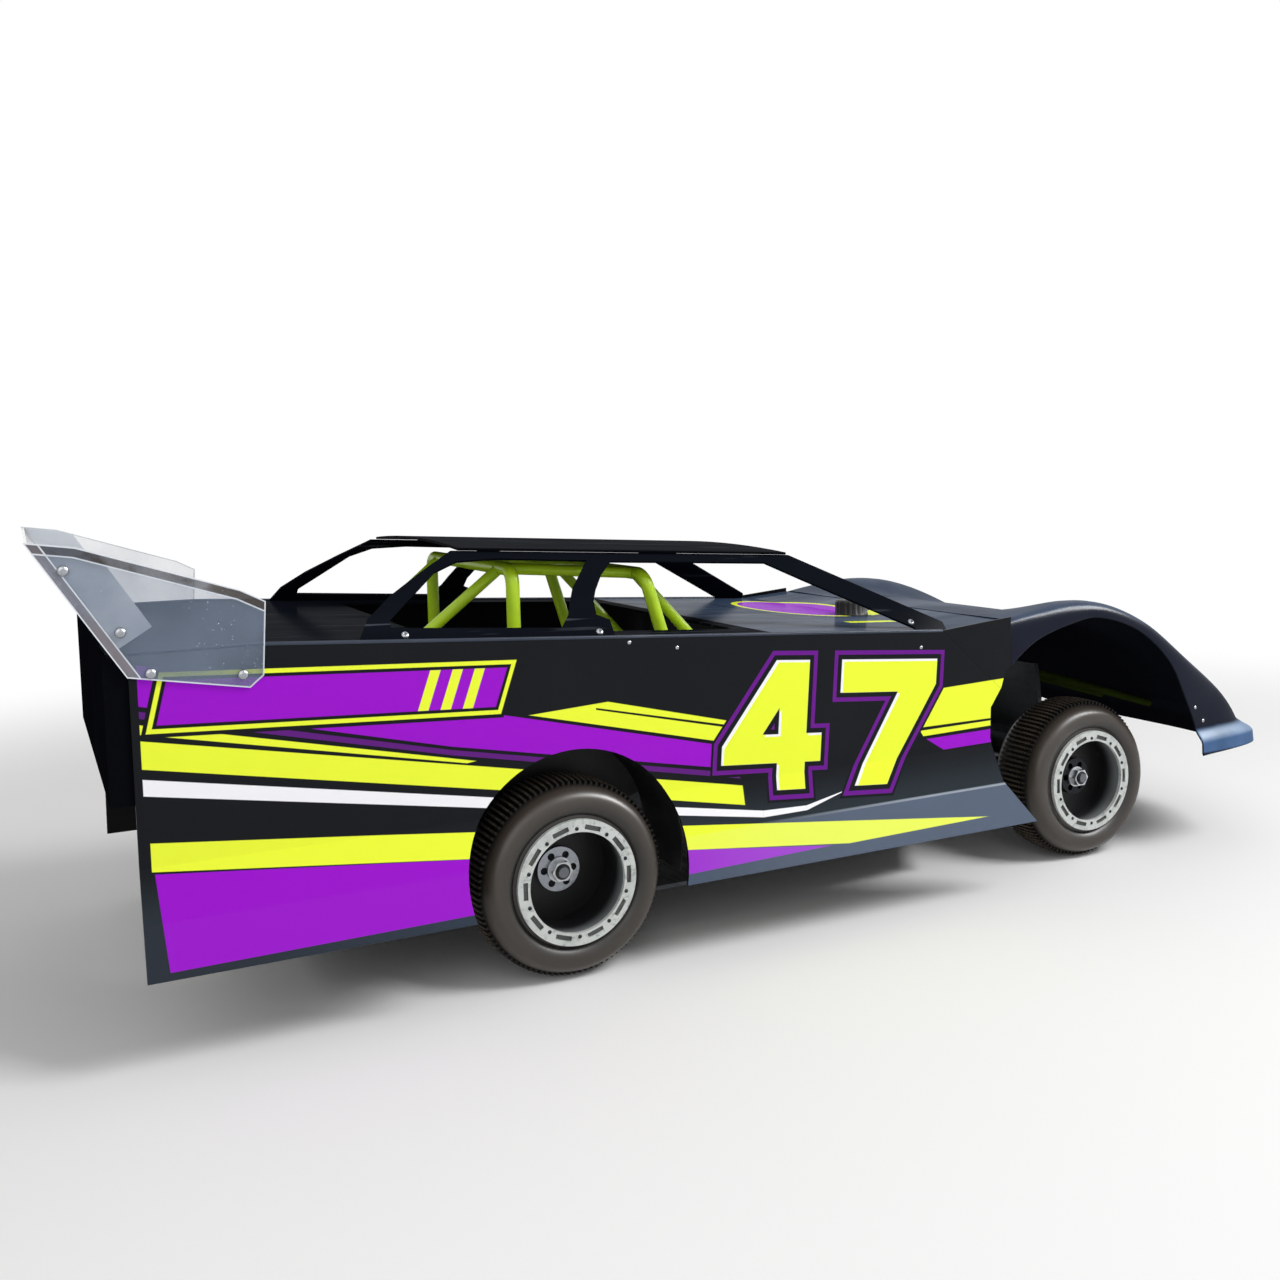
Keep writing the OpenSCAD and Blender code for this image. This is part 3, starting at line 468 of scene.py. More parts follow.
@dataclass(frozen=True)
class HoodSheet(GlossSheet):
    """Body sheet of the hood with a printed oval, stripes and a seam, mm: x from the rear axle, y."""

    oval: tuple[float, float, float, float] = (406.0, 50.0, 60.0, 108.0)
    stripes: tuple[Outline, ...] = (
        ((364, -132), (430, -126), (430, -112), (364, -116)),
        ((446, -20), (470, -24), (470, -60), (446, -58)))
    seam: float = 330.0
    ring: tuple[Point, Point] = ((0.99, 1.01), (0.89, 0.91))

    def colour(self, graph: Graph) -> Any:
        """Purple inside a yellow ring, worked from the oval's own radius, two stripes and a dark seam."""
        x, y, _ = graph.mm_from_axle()
        cx, cy, rx, ry = self.oval
        radius = (((x - cx) / rx) ** 2.0 + ((y - cy) / ry) ** 2.0) ** 0.5
        base = super().colour(graph)
        base = graph.mix(radius.fall(*self.ring[0]), base, YELLOW)
        base = graph.mix(radius.fall(*self.ring[1]), base, PURPLE)
        bars = union(graph, graph.join(x, y, 1.0), self.stripes)
        base = graph.mix(bars.ramp(-0.3, 0.3), base, YELLOW)
        return graph.mix(abs(x - self.seam).fall(0.8, 1.3), base, ink("05060A"))


@dataclass(frozen=True)
class MouldedShell(Finish):
    """Moulded dark plastic of the nose: gloss and orange peel outside, dull inside, dust low down, and
    painted reflections on faces that look up and on the lip.
    """

    # Heights, mm: where dust thins out, where the painted reflection on the lip ends, and the lip's own
    # edge.
    dusty: Point = (110.0, 170.0)
    painted_lip_reflection: Point = (146.0, 153.0)
    lip: Point = (116.0, 119.0)

    def paint(self, graph: Graph) -> None:
        """Deep gloss over orange peel where the face looks up or outward, dull black where it looks in."""
        _, y, z = graph.mm_from_axle()
        along, out, up = graph.facing()
        skin = (along + out * y.sign() + up).ramp(-0.2, 0.2)
        peel = graph.noise(95.0, 2.0)
        film = graph.noise(9.0, 5.0)
        low = z.fall(*self.dusty) * graph.noise(18.0, 5.0).ramp(0.45, 0.75)
        # Dust low down over a navy base, whose tint is a painted reflection of blue skylight.
        colour = graph.mix(low * 0.14, ink("0B1122"), ink("4A4A4C"))
        # Painted reflection: faces that look up turn a paler blue.
        colour = graph.mix(up.ramp(0.35, 0.8) * film.ramp(0.3, 0.7, 0.2, 0.36), colour, ink("5C7292"))
        # Painted reflection: a light blue band along the lip, palest where it looks up.
        painted_lip_reflection = (z + film * 14.0).fall(*self.painted_lip_reflection) * z.ramp(*self.lip)
        lip_reflection_tone = graph.mix(up.ramp(0.1, 0.6), ink("557AAC"), ink("A2BCDD"))
        colour = graph.mix(painted_lip_reflection * film.ramp(0.3, 0.7, 0.45, 0.9), colour, lip_reflection_tone)
        graph.principled(
            Base_Color=graph.mix(skin, ink("121419"), colour), Roughness=low * 0.12 + 0.62 - skin * 0.5,
            Specular_IOR_Level=0.0, Coat_Weight=skin * film.ramp(0.3, 0.7, 0.24, 0.36), Coat_Roughness=0.27,
            Normal=graph.bump(peel, 0.06, 0.0012))


@dataclass(frozen=True)
class EdgeStrip:
    """A darker strip along a clear sheet's edges, mm: a convex outline that they lie on, and its width."""

    outline: Outline
    width: float
    tone: Colour
    cover: Point


@dataclass(frozen=True)
class ClearSheet(Finish):
    """Smoke-clear plastic sheet with fine wiped scratches and bright sawn edges."""

    face: Place = (0.0, 1.0, 0.0)
    tone: Colour = ink("7F8EA4")
    outline: Outline = ()
    band: float = 1000.0
    hazy: Point = (0.26, 0.46)
    strips: tuple[EdgeStrip, ...] = ()

    def paint(self, graph: Graph) -> None:
        """See-through across the sheet's face, hazier where it is scratched, and pale on its edges.

        A sheet with an outline (mm) has a painted highlight as a bright border inside it, its strips are
        mottled with a painted highlight along their inner edges, and above the band's height (mm) the sheet
        is dark.
        """
        x, _, z = graph.mm_from_axle()
        normal = graph.node("ShaderNodeTexCoord", output="Normal")
        edge = abs(graph.vector("DOT_PRODUCT", normal, self.face, output=1)).fall(0.5, 0.8)
        scratch = graph.noise(160.0, 3.0, (0.08, 1.0, 1.0))
        haze = graph.noise(14.0, 4.0).ramp(0.35, 0.8, *self.hazy)
        speck = graph.noise(520.0, 2.0).ramp(0.7, 0.75) * graph.noise(20.0, 2.0).ramp(0.45, 0.6)
        pale = edge.most(speck)
        dark = z.ramp(self.band - 0.5, self.band + 0.5)
        colour = graph.mix(dark, self.tone, ink("514A47"))
        flat = graph.join(x, z, 1.0)
        for strip in self.strips:
            depth = inside(graph, flat, strip.outline)
            mottle = graph.noise(46.0, 3.0).ramp(0.42, 0.58, *strip.cover)
            held = depth.fall(strip.width - 0.4, strip.width + 0.4) * mottle
            colour = graph.mix(held, colour, strip.tone)
            dark = dark.most(held)
            # Painted highlight: a pale line along the strip's inner edge.
            pale = pale.most(abs(depth - strip.width - 0.6).ramp(0.3, 0.8, 0.8, 0.0))
        if self.outline:
            # Painted highlight: a bright border just inside the outline.
            pale = pale.most(inside(graph, flat, self.outline).ramp(0.7, 1.2, 0.9, 0.0))
        colour = graph.mix(pale, colour, ink("E6EBF2"))
        graph.principled(
            Base_Color=colour, Roughness=scratch.ramp(0.45, 0.7, 0.06, 0.2),
            Alpha=(haze + pale * 0.55 + dark * 0.5).least(1.0), Specular_IOR_Level=0.5,
            Normal=graph.bump(scratch, 0.015, 0.0004))


@dataclass(frozen=True)
class PowderCoat(Finish):
    """Powder coat with a fine peel and worn spots."""

    tone: Colour = ink("C8F02A")
    worn: Colour = ink("A6CC1E")
    gloss: float = 0.4

    def paint(self, graph: Graph) -> None:
        """Even colour, a little duller in patches."""
        patchy = graph.noise(40.0, 4.0).ramp(0.45, 0.8)
        graph.principled(
            Base_Color=graph.mix(patchy * 0.5, self.tone, self.worn), Roughness=patchy * 0.2 + 0.3,
            Specular_IOR_Level=self.gloss, Normal=graph.bump(graph.noise(420.0, 2.0), 0.2, 0.0004))


EVEN: Place = (1.0, 1.0, 1.0)


@dataclass(frozen=True)
class Metal(Finish):
    """Turned or sawn metal with a fine grain along one way, or an even one."""

    tone: Colour = ink("B9BBBD")
    rough: float = 0.32
    grain: Place = (1.0, 0.1, 1.0)
    stain: float = 1.0

    def paint(self, graph: Graph) -> None:
        """Metal with grain in its gloss."""
        lines = graph.noise(300.0, 3.0, self.grain)
        dark = tuple(0.7 * c for c in self.tone[:3]) + (1.0,)
        stained = graph.noise(30.0, 4.0).ramp(0.4, 0.8, 0.0, self.stain)
        graph.principled(
            Base_Color=graph.mix(stained, self.tone, dark), Metallic=0.9,
            Roughness=lines.ramp(0.3, 0.7, self.rough - 0.08, self.rough + 0.12),
            Normal=graph.bump(lines, 0.06, 0.0003))


@dataclass(frozen=True)
class Plastic(Finish):
    """Moulded plastic with a spark-eroded grain."""

    tone: Colour = ink("17181A")
    rough: float = 0.5

    def paint(self, graph: Graph) -> None:
        """Even colour and a fine grain."""
        cloud = graph.noise(35.0, 4.0)
        pale = tuple(min(1.0, c * 1.5 + 0.01) for c in self.tone[:3]) + (1.0,)
        graph.principled(
            Base_Color=graph.mix(cloud.ramp(0.45, 0.85), self.tone, pale),
            Roughness=cloud.ramp(0.3, 0.8, self.rough - 0.06, self.rough + 0.12),
            Specular_IOR_Level=0.4, Normal=graph.bump(graph.noise(900.0, 2.0), 0.15, 0.0003))


@dataclass(frozen=True)
class Wheelwise:
    """Where a point is on its wheel, in mm: radius from the axle, size of y, and depth behind the ring."""

    radius: Socket
    across: Socket
    depth: Socket

    @classmethod
    def of(cls, graph: Graph) -> "Wheelwise":
        """Works out the place from Object coordinates.

        The nearer axle is the one with the lesser distance along x, the radius is the root of the sum of
        the squares along and up, and the depth is the ring face's y less the size of y.

        Args:
            graph: the tree.

        Returns:
            The place.
        """
        x, y, z = graph.mm_from_axle()
        base = (FRONT_AXLE.x - REAR_AXLE.x) / MM
        along = abs(x).least(abs(x - base))
        up = z - REAR_AXLE.z / MM
        rear, front = (-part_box(node)[0].y / MM for node in ("rear_rim_right", "front_rim_right"))
        face = x.ramp(0.45 * base, 0.55 * base, rear, front)
        return cls((along * along + up * up) ** 0.5, abs(y), face - abs(y))


@dataclass(frozen=True)
class Rubber(Finish):
    """Tyre rubber: dark tread with painted shade between the pins and patches of dust, browner and shinier
    side walls with painted shade towards the bead.
    """

    # Radii, mm: where the side wall turns from painted shade by the bead to pale, where it ends, and the
    # pins' tips, below which the tread is painted darker as shade.
    shade: Point = (60.0, 80.0)
    wall: Point = (84.5, 87.0)
    tips: Point = (89.0, 91.0)

    def paint(self, graph: Graph) -> None:
        """Colour and gloss by the radius from the nearer axle."""
        place = Wheelwise.of(graph)
        wall = place.radius.fall(*self.wall)
        cloud = graph.noise(24.0, 5.0)
        # Painted shade: the tread darkens from the pins' tips down to their roots.
        tread = graph.mix(place.radius.ramp(*self.tips), ink("12100E"), ink("4A433B"))
        tread = graph.mix(cloud.ramp(0.45, 0.8, 0.0, 0.35), tread, ink("39342E"))
        # Painted shade: the side wall darkens towards the bead, where it turns in.
        side = graph.mix(place.radius.ramp(*self.shade), ink("191512"), ink("38312B"))
        side = graph.mix(cloud.ramp(0.4, 0.85, 0.0, 0.3), side, ink("4A433B"))
        rings = (place.radius * 2.2).sine() * wall
        graph.principled(
            Base_Color=graph.mix(wall, tread, side), Roughness=wall * -0.12 + cloud * 0.1 + 0.48,
            Specular_IOR_Level=0.25, Coat_Weight=wall * 0.6, Coat_Roughness=0.38,
            Normal=graph.bump(rings * 0.05 + graph.noise(500.0, 3.0), 0.1, 0.0004))


@dataclass(frozen=True)
class RimPlastic(Finish):
    """Wheel moulding: pale ring with recesses darkened as painted shade, a barrel that darkens with depth
    as painted shade, black web.
    """

    inner: float = 46.25
    barrel: float = 48.5
    recess: Point = (48.25, 52.75)
    ring_depth: Point = (3.6, 4.4)

    def paint(self, graph: Graph) -> None:
        """Colour by radius and by depth behind the ring's face."""
        place = Wheelwise.of(graph)
        radius, depth = place.radius, place.depth
        pale = radius.ramp(self.inner - 0.5, self.inner - 0.25) * depth.fall(*self.ring_depth)
        pale = pale.most(radius.ramp(self.barrel - 0.5, self.barrel - 0.25))
        barrel = radius.fall(self.barrel + 0.3, self.barrel + 0.9) * depth.ramp(*self.ring_depth)
        # Painted shade: the floor of each recess in the ring.
        painted_recess_shade = depth.ramp(0.5, 1.2) * depth.fall(3.0, 3.4) \
            * radius.ramp(self.recess[0] - 0.4, self.recess[0]) \
            * radius.fall(self.recess[1], self.recess[1] + 0.4)
        cloud = graph.noise(60.0, 4.0)
        grey = graph.mix(cloud.ramp(0.4, 0.8), ink("C6CAC7"), ink("A6ABA8"))
        grey = graph.mix(graph.noise(240.0, 3.0).ramp(0.56, 0.7, 0.0, 0.55), grey, ink("7E8380"))
        # Painted shade: the barrel goes from grey to near black deeper in.
        grey = graph.mix(barrel, grey, graph.mix(depth.ramp(5.0, 26.0), ink("7C8182"), ink("121315")))
        grey = graph.mix(painted_recess_shade * 0.85, grey, ink("1A1B1D"))
        graph.principled(
            Base_Color=graph.mix(pale, ink("0B0C0E"), grey), Roughness=cloud * 0.2 + 0.32,
            Specular_IOR_Level=0.35, Normal=graph.bump(graph.noise(700.0, 2.0), 0.1, 0.0003))


@dataclass(frozen=True)
class AxleSteel(Finish):
    """Axle ends, mm: bright nut rim, black nut face, grey shaft end."""

    outboard: Point = (150.0, 151.0)
    shaft: Point = (5.0, 5.3)
    nut: Point = (7.4, 7.7)

    def paint(self, graph: Graph) -> None:
        """Colour by radius, outboard of the hubs alone."""
        place = Wheelwise.of(graph)
        outboard = place.across.ramp(*self.outboard)
        nut = place.radius.ramp(*self.shaft) * place.radius.fall(*self.nut) * outboard
        grain = graph.noise(200.0, 3.0)
        end = place.radius.fall(*self.shaft) * outboard
        colour = graph.mix(end, graph.mix(grain, ink("D2D4D7"), ink("A8ABAF")), ink("6B6F74"))
        colour = graph.mix(nut, colour, ink("0E0F11"))
        graph.principled(
            Base_Color=colour, Metallic=0.9 - nut * 0.6, Roughness=grain * 0.2 + 0.22,
            Normal=graph.bump(grain, 0.05, 0.0003))


# Meshes


def linked(name: str, data: bpy.types.ID) -> bpy.types.Object:
    """A new object of the scene."""
    made = bpy.data.objects.new(name, data)
    bpy.context.scene.collection.objects.link(made)
    return made


@dataclass
class Shell:
    """Points and faces of one closed surface."""

    points: np.ndarray
    faces: list[list[int]]

    def joined(self, other: "Shell") -> "Shell":
        """This shell and another as one."""
        shift = len(self.points)
        moved = [[i + shift for i in f] for f in other.faces]
        return Shell(np.concatenate([self.points, other.points]), self.faces + moved)

    def volume(self) -> float:
        """Signed volume by fans from each face's first corner."""
        total = 0.0
        for size in {len(f) for f in self.faces}:
            first, *rest = self.points[np.array([f for f in self.faces if len(f) == size]).T]
            total += sum(float(np.sum(first * np.cross(a, b))) for a, b in zip(rest, rest[1:]))
        return total / 6.0

    def outward(self) -> "Shell":
        """This shell with its faces pointing out of a closed surface."""
        return self if self.volume() >= 0 else Shell(self.points, [f[::-1] for f in self.faces])

    def piece(self, name: str, finish: Finish, body: str, slot: str, sharp: float = 40.0,
              stands_for: Sequence[str] = ()) -> None:
        """Makes the shell a piece of the car.

        Args:
            name: piece name.
            finish: its finish.
            body: the body it rides on.
            slot: the record's material slot; not used.
            sharp: angle in degrees past which an edge stays sharp.
            stands_for: solids that it replaces.
        """
        mesh = bpy.data.meshes.new(name)
        mesh.from_pydata(self.points.tolist(), [], self.faces)
        mesh.validate()
        mesh.materials.append(finish.material())
        mesh.polygons.foreach_set("use_smooth", np.full(len(mesh.polygons), True))
        mesh.set_sharp_from_angle(angle=math.radians(sharp))
        mesh.update()
        made = linked(name, mesh)
        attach(made, body)
        if stands_for:
            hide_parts(*stands_for)
        log.info("%s: %d points, %d faces", name, len(self.points), len(self.faces))


def grid_faces(rows: int, cols: int, ring_rows: bool = False, ring_cols: bool = False) -> np.ndarray:
    """Quads of a grid of points in row order.

    Args:
        rows: points down.
        cols: points across.
        ring_rows: whether the last row joins the first.
        ring_cols: whether the last column joins the first.

    Returns:
        Four point numbers a face.
    """
    i = np.arange(rows if ring_rows else rows - 1)[:, None]
    j = np.arange(cols if ring_cols else cols - 1)[None, :]
    down, right = (i + 1) % rows, (j + 1) % cols
    corners = [i * cols + j, i * cols + right, down * cols + right, down * cols + j]
    return np.stack([np.broadcast_to(c, (i.size, j.size)) for c in corners], -1).reshape(-1, 4)


def tube_faces(rows: int, cols: int) -> list[list[int]]:
    """Faces of a row of rings, with the first and the last ring closed."""
    last = (rows - 1) * cols
    ends = [list(range(cols))[::-1], list(range(last, last + cols))]
    return grid_faces(rows, cols, ring_cols=True).tolist() + ends


def turns(steps: int) -> np.ndarray:
    """Even angles round a circle."""
    return np.linspace(0, 2 * math.pi, steps, endpoint=False)


def lathe(radius: np.ndarray, height: np.ndarray) -> Shell:
    """Rings about z with closed ends: a radius for each ring and turn, and a height for each ring."""
    turn = turns(radius.shape[1])
    points = np.stack([radius * np.cos(turn), radius * np.sin(turn),
                       np.broadcast_to(height[:, None], radius.shape)], -1)
    return Shell(points.reshape(-1, 3), tube_faces(*radius.shape))


def swept(path: np.ndarray, outline: np.ndarray) -> Shell:
    """An outline carried along a path, with flat ends.

    At each path point the outline's first number goes across the car and its second along the direction
    square to both that and the path.

    Args:
        path: points along, one row each.
        outline: closed outline, two numbers a row.

    Returns:
        The closed shell.
    """
    ahead = np.gradient(path, axis=0)
    ahead /= np.linalg.norm(ahead, axis=1)[:, None]
    up = np.cross(ahead, ACROSS)
    up /= np.linalg.norm(up, axis=1)[:, None]
    points = path[:, None] + outline[None, :, :1] * ACROSS + outline[None, :, 1:] * up[:, None]
    return Shell(points.reshape(-1, 3), tube_faces(len(path), len(outline))).outward()


def bead(path: np.ndarray, radius: float, steps: int = 10) -> Shell:
    """A round bead along a path."""
    angle = turns(steps)
    return swept(path, radius * np.stack([np.cos(angle), np.sin(angle)], 1))


# Sub-assemblies


@dataclass
class PhotoCamera:
    """The camera at the photograph's place, with angles in degrees."""

    place: Place = (-0.6895, -1.264, 0.458)
    yaw: float = 26.0
    pitch: float = 4.57
    roll: float = -1.42
    lens: float = 36.0
    sensor: float = 36.0
    shift: Point = (-0.0031, -0.0508)
    reach: float = 100.0

    def build(self) -> None:
        """Makes the camera and gives it to the scene."""
        a, p, r = (math.radians(v) for v in (self.yaw, self.pitch, self.roll))
        right = Vector((math.cos(a), -math.sin(a), 0))
        ahead = Vector((math.sin(a), math.cos(a), 0))
        up = Vector((0, 0, 1))
        look = ahead * math.cos(p) - up * math.sin(p)
        top = up * math.cos(p) + ahead * math.sin(p)
        side = right * math.cos(r) + top * math.sin(r)
        crown = top * math.cos(r) - right * math.sin(r)
        data = bpy.data.cameras.new("camera")
        data.sensor_width = self.sensor
        data.lens = self.lens
        data.shift_x, data.shift_y = self.shift
        data.clip_end = self.reach
        made = linked("camera", data)
        turn = Matrix((side, crown, -look)).transposed().to_4x4()
        made.matrix_world = Matrix.Translation(Vector(self.place)) @ turn
        bpy.context.scene.camera = made


@dataclass
class Studio:
    """Pale floor, white surround and soft lamps."""

    floor_half: float = 12.0
    floor_tone: Colour = (0.93, 0.93, 0.93, 1.0)
    floor_fade: Point = (0.95, 2.1)
    world_level: float = 0.45
    aim: Place = (0.1, 0.0, 0.15)
    # Name, place, watts, side of the square, and whether matt surfaces see it.
    lamps: tuple[tuple[str, Place, float, float, bool], ...] = (
        ("key_lamp", (1.3, -1.5, 2.2), 47.0, 1.1, True),
        ("fill_lamp", (-1.6, -1.8, 1.5), 12.0, 2.0, True),
        ("gloss_card", (2.2, -1.0, 1.8), 120.0, 1.2, False))

    def seen(self, graph: Graph) -> Socket:
        """One for camera, glossy and transmission rays, nought for the rays that light the car."""
        outputs = graph.node("ShaderNodeLightPath").link.node.outputs
        rays = [Socket(graph, outputs[f"Is {kind} Ray"]) for kind in ("Camera", "Glossy", "Transmission")]
        return (rays[0] + rays[1] + rays[2]).least(1.0)

    def build(self) -> None:
        """Makes world, floor and lamps."""
        self.surround()
        self.floor()
        for lamp in self.lamps:
            self.lamp(*lamp)

    def surround(self) -> None:
        """White to the eye and in reflections, dimmer as a light."""
        world = bpy.data.worlds.new("surround")
        bpy.context.scene.world = world
        world.use_nodes = True
        graph = Graph(world.node_tree)
        level = self.seen(graph) * (1.0 - self.world_level) + self.world_level
        shader = graph.node("ShaderNodeBackground", inputs={"Color": (1, 1, 1, 1), "Strength": level})
        graph.node("ShaderNodeOutputWorld", inputs={"Surface": shader})

    def floor(self) -> None:
        """A pale floor that keeps the shadow and fades into the white surround far out."""
        half = self.floor_half
        corners = [(-half, -half, 0), (half, -half, 0), (half, half, 0), (-half, half, 0)]
        mesh = bpy.data.meshes.new("floor")
        mesh.from_pydata(corners, [], [(0, 1, 2, 3)])
        material = bpy.data.materials.new("pale_floor")
        material.use_nodes = True
        graph = Graph(material.node_tree)
        reach = graph.vector("LENGTH", graph.place(), (0, 0, 0), output=1)
        far = reach.ramp(*self.floor_fade) * self.seen(graph)
        matt = graph.node("ShaderNodeBsdfDiffuse", inputs={"Color": self.floor_tone})
        white = graph.node("ShaderNodeEmission", inputs={"Color": (1, 1, 1, 1), "Strength": 1.0})
        both = graph.node("ShaderNodeMixShader", inputs={0: far, 1: matt, 2: white})
        graph.node("ShaderNodeOutputMaterial", inputs={"Surface": both})
        mesh.materials.append(material)
        made = linked("floor", mesh)

    def lamp(self, name: str, place: Place, power: float, size: float, diffuse: bool) -> None:
        """A square soft lamp that looks at the car's middle."""
        data = bpy.data.lights.new(name, "AREA")
        data.energy = power
        data.shape = "SQUARE"
        data.size = size
        made = linked(name, data)
        made.location = place
        made.rotation_mode = "QUATERNION"
        made.rotation_quaternion = (Vector(self.aim) - Vector(place)).to_track_quat("-Z", "Y")
        made.visible_diffuse = diffuse


@dataclass
class PinTyre:
    """A tyre with a smooth carcass and rows of pins, inside its solid's box."""

    node: str
    body: str
    pin_height: float = 3.0 * MM
    pin_root: float = 0.5 * MM
    pin_rows: int = 100
    pins_across: int = 10
    pin_arc: float = 29.0
    pin_margin: Point = (0.02, 0.98)
    # At foot and tip: half length round the tyre, and half width as a share of the pitch across.
    pin_half: tuple[Point, Point] = ((1.5 * MM, 0.46), (1.0 * MM, 0.38))
    square: float = 0.8
    widest: float = 73.0 * MM
    bead: float = 60.6 * MM
    bead_angle: float = 125.0
    bead_step: float = 2.2 * MM
    seat: float = 51.8 * MM
    seat_in: float = 4.6 * MM
    steps: int = 124
    section_steps: int = 59
    track_steps: int = 800

    def section(self, angle: np.ndarray, tip: float, half: float) -> np.ndarray:
        """Carcass section: radius and y by the angle from the crown.

        A superellipse about the widest radius: y is the half width times the sine to the power square,
        and the radius goes up by the crown height, or down by the bead drop, times the cosine to it.

        Args:
            angle: angles in radians, below nought on the inner side.
            tip: radius of the crown.
            half: half width.

        Returns:
            Radius and y, one row each.
        """
        sine, cosine = np.sin(angle), np.cos(angle)
        full = abs(math.cos(math.radians(self.bead_angle))) ** self.square
        rise = np.where(cosine >= 0, tip - self.widest, (self.widest - self.bead) / full)
        radius = self.widest + rise * np.sign(cosine) * np.abs(cosine) ** self.square
        y = half * np.sign(sine) * np.abs(sine) ** self.square
        return np.stack([radius, y], -1)

    def build(self, finish: Finish) -> None:
        """Makes the tyre in place of its solid."""
        low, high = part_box(self.node)
        half = (high.y - low.y) / 2
        crown = (high.x - low.x) / 2 - self.pin_height
        shell = self.carcass(crown, half).joined(self.pins(crown, half))
        shell.points += np.array([*((low + high) / 2).xy, (low.z + high.z) / 2])
        shell.piece("pin_" + self.node, finish, self.body, "tyre", sharp=35.0, stands_for=(self.node,))

    def carcass(self, crown: float, half: float) -> Shell:
        """The section turned about the axle, closed through the beads and the barrel's seat."""
        angle = np.radians(np.linspace(-self.bead_angle, self.bead_angle, self.section_steps))
        lip, seat_y = self.bead - self.bead_step, half - self.seat_in
        inner = [[lip, seat_y], [self.seat, seat_y], [self.seat, -seat_y], [lip, -seat_y]]
        radius, y = np.concatenate([self.section(angle, crown, half), inner]).T
        turn = turns(self.steps)[:, None]
        points = np.stack(np.broadcast_arrays(radius * np.cos(turn), y, radius * np.sin(turn)), -1)
        faces = grid_faces(self.steps, len(radius), True, True).tolist()
        return Shell(points.reshape(-1, 3), faces).outward()

    def pins(self, crown: float, half: float) -> Shell:
        """Rows of tapered blocks square to the carcass.

        A pin at turn t and section angle a has its foot just under the carcass and its tip a pin's height
        over it, along the section's normal, with its sides along the turn and along the section.

        Returns:
            All pins as one shell.
        """
        fine = np.radians(np.linspace(-self.pin_arc, self.pin_arc, self.track_steps))
        track = self.section(fine, crown, half)
        length = np.concatenate([[0], np.cumsum(np.linalg.norm(np.diff(track, axis=0), axis=1))])
        spread = np.interp(np.linspace(*self.pin_margin, self.pins_across) * length[-1], length, fine)
        foot = self.section(spread, crown, half)
        step = 1e-3
        run = self.section(spread + step, crown, half) - self.section(spread - step, crown, half)
        run /= np.linalg.norm(run, axis=1)[:, None]
        normal = np.stack([run[:, 1], -run[:, 0]], 1)
        normal *= np.sign(np.sum(normal * (foot - np.array([self.widest, 0])), axis=1))[:, None]
        wide = np.array(self.pin_half) * np.array([1, length[-1] / self.pins_across])
        corner = np.array([[-1, -1], [1, -1], [1, 1], [-1, 1]], float)
        level = np.array([-self.pin_root, self.pin_height])[:, None, None]
        # Axes: place across, level and corner, then radius and y. The turn's axis goes before these.
        aside, along = (wide[:, None, i] * corner[:, i] for i in (0, 1))
        placed = foot[:, None, None] + normal[:, None, None] * level + run[:, None, None] * along[..., None]
        turn = turns(self.pin_rows)[:, None, None, None]
        radius, y, aside, turn = np.broadcast_arrays(placed[..., 0], placed[..., 1], aside, turn)
        points = np.stack([radius * np.cos(turn) - aside * np.sin(turn), y,
                           radius * np.sin(turn) + aside * np.cos(turn)], -1).reshape(-1, 8, 3)
        block = [[0, 3, 2, 1], [4, 5, 6, 7], [0, 1, 5, 4], [1, 2, 6, 5], [2, 3, 7, 6], [3, 0, 4, 7]]
        block = np.array(Shell(points[0], block).outward().faces)
        faces = (block[None] + 8 * np.arange(len(points))[:, None, None]).reshape(-1, 4)
        return Shell(points.reshape(-1, 3), faces.tolist())


@dataclass
class ButtonScrew:
    """A round-headed screw with a hexagon socket."""

    radius: float = 4.2 * MM
    height: float = 2.4 * MM
    socket: float = 1.5 * MM
    steps: int = 24
    sunk: float = 0.4 * MM
    # Angles over the dome in degrees, and heights of the socket's edge, foot and middle as shares.
    dome: tuple[float, ...] = (0, 18, 36, 54, 68)
    hollow: Place = (1, 0.35, 0.3)

    def shell(self, place: Sequence[float], normal: Sequence[float]) -> Shell:
        """The head at a place, turned to a normal.

        Rows run from the rim over a quarter-ellipse dome to the socket's edge, down its wall and to its
        middle. In the socket the radius at turn t is the flat's distance over the cosine of the angle
        from the nearest flat.

        Args:
            place: point on the surface.
            normal: unit normal.

        Returns:
            The closed shell.
        """
        turn = turns(self.steps)
        flat = self.socket / np.cos((turn + math.pi / 6) % (math.pi / 3) - math.pi / 6)
        rise = np.radians(self.dome)
        ring = self.radius * np.ones_like(turn)
        rows = [ring, *(ring * np.cos(a) for a in rise), flat, flat, 0.3 * flat]
        heights = [-self.sunk, *(self.height * np.array([*np.sin(rise), *self.hollow]))]
        head = lathe(np.stack(rows), np.array(heights))
        tilt = np.array(Vector((0, 0, 1)).rotation_difference(Vector(normal)).to_matrix())
        return Shell(head.points @ tilt.T + np.array(place, float), head.faces).outward()

    def group(self, name: str, finish: Finish, places: np.ndarray, normal: Sequence[float],
              body: str = "car") -> None:
        """Joins heads at several places, in metres, into one piece."""
        heads = [self.shell(place, normal) for place in places]
        reduce(Shell.joined, heads).piece(name, finish, body, "steel")


FRAME_SCREW = ButtonScrew(3.6 * MM, 2.2 * MM)
PANEL_RIVET = ButtonScrew(1.9 * MM, 0.9 * MM, 0.5 * MM, 12)
NOSE_RIVET = ButtonScrew(2.2 * MM, 1.0 * MM, 0.6 * MM, 12)
RING_BOLT = ButtonScrew(1.9 * MM, 1.1 * MM, 0.7 * MM, 12)


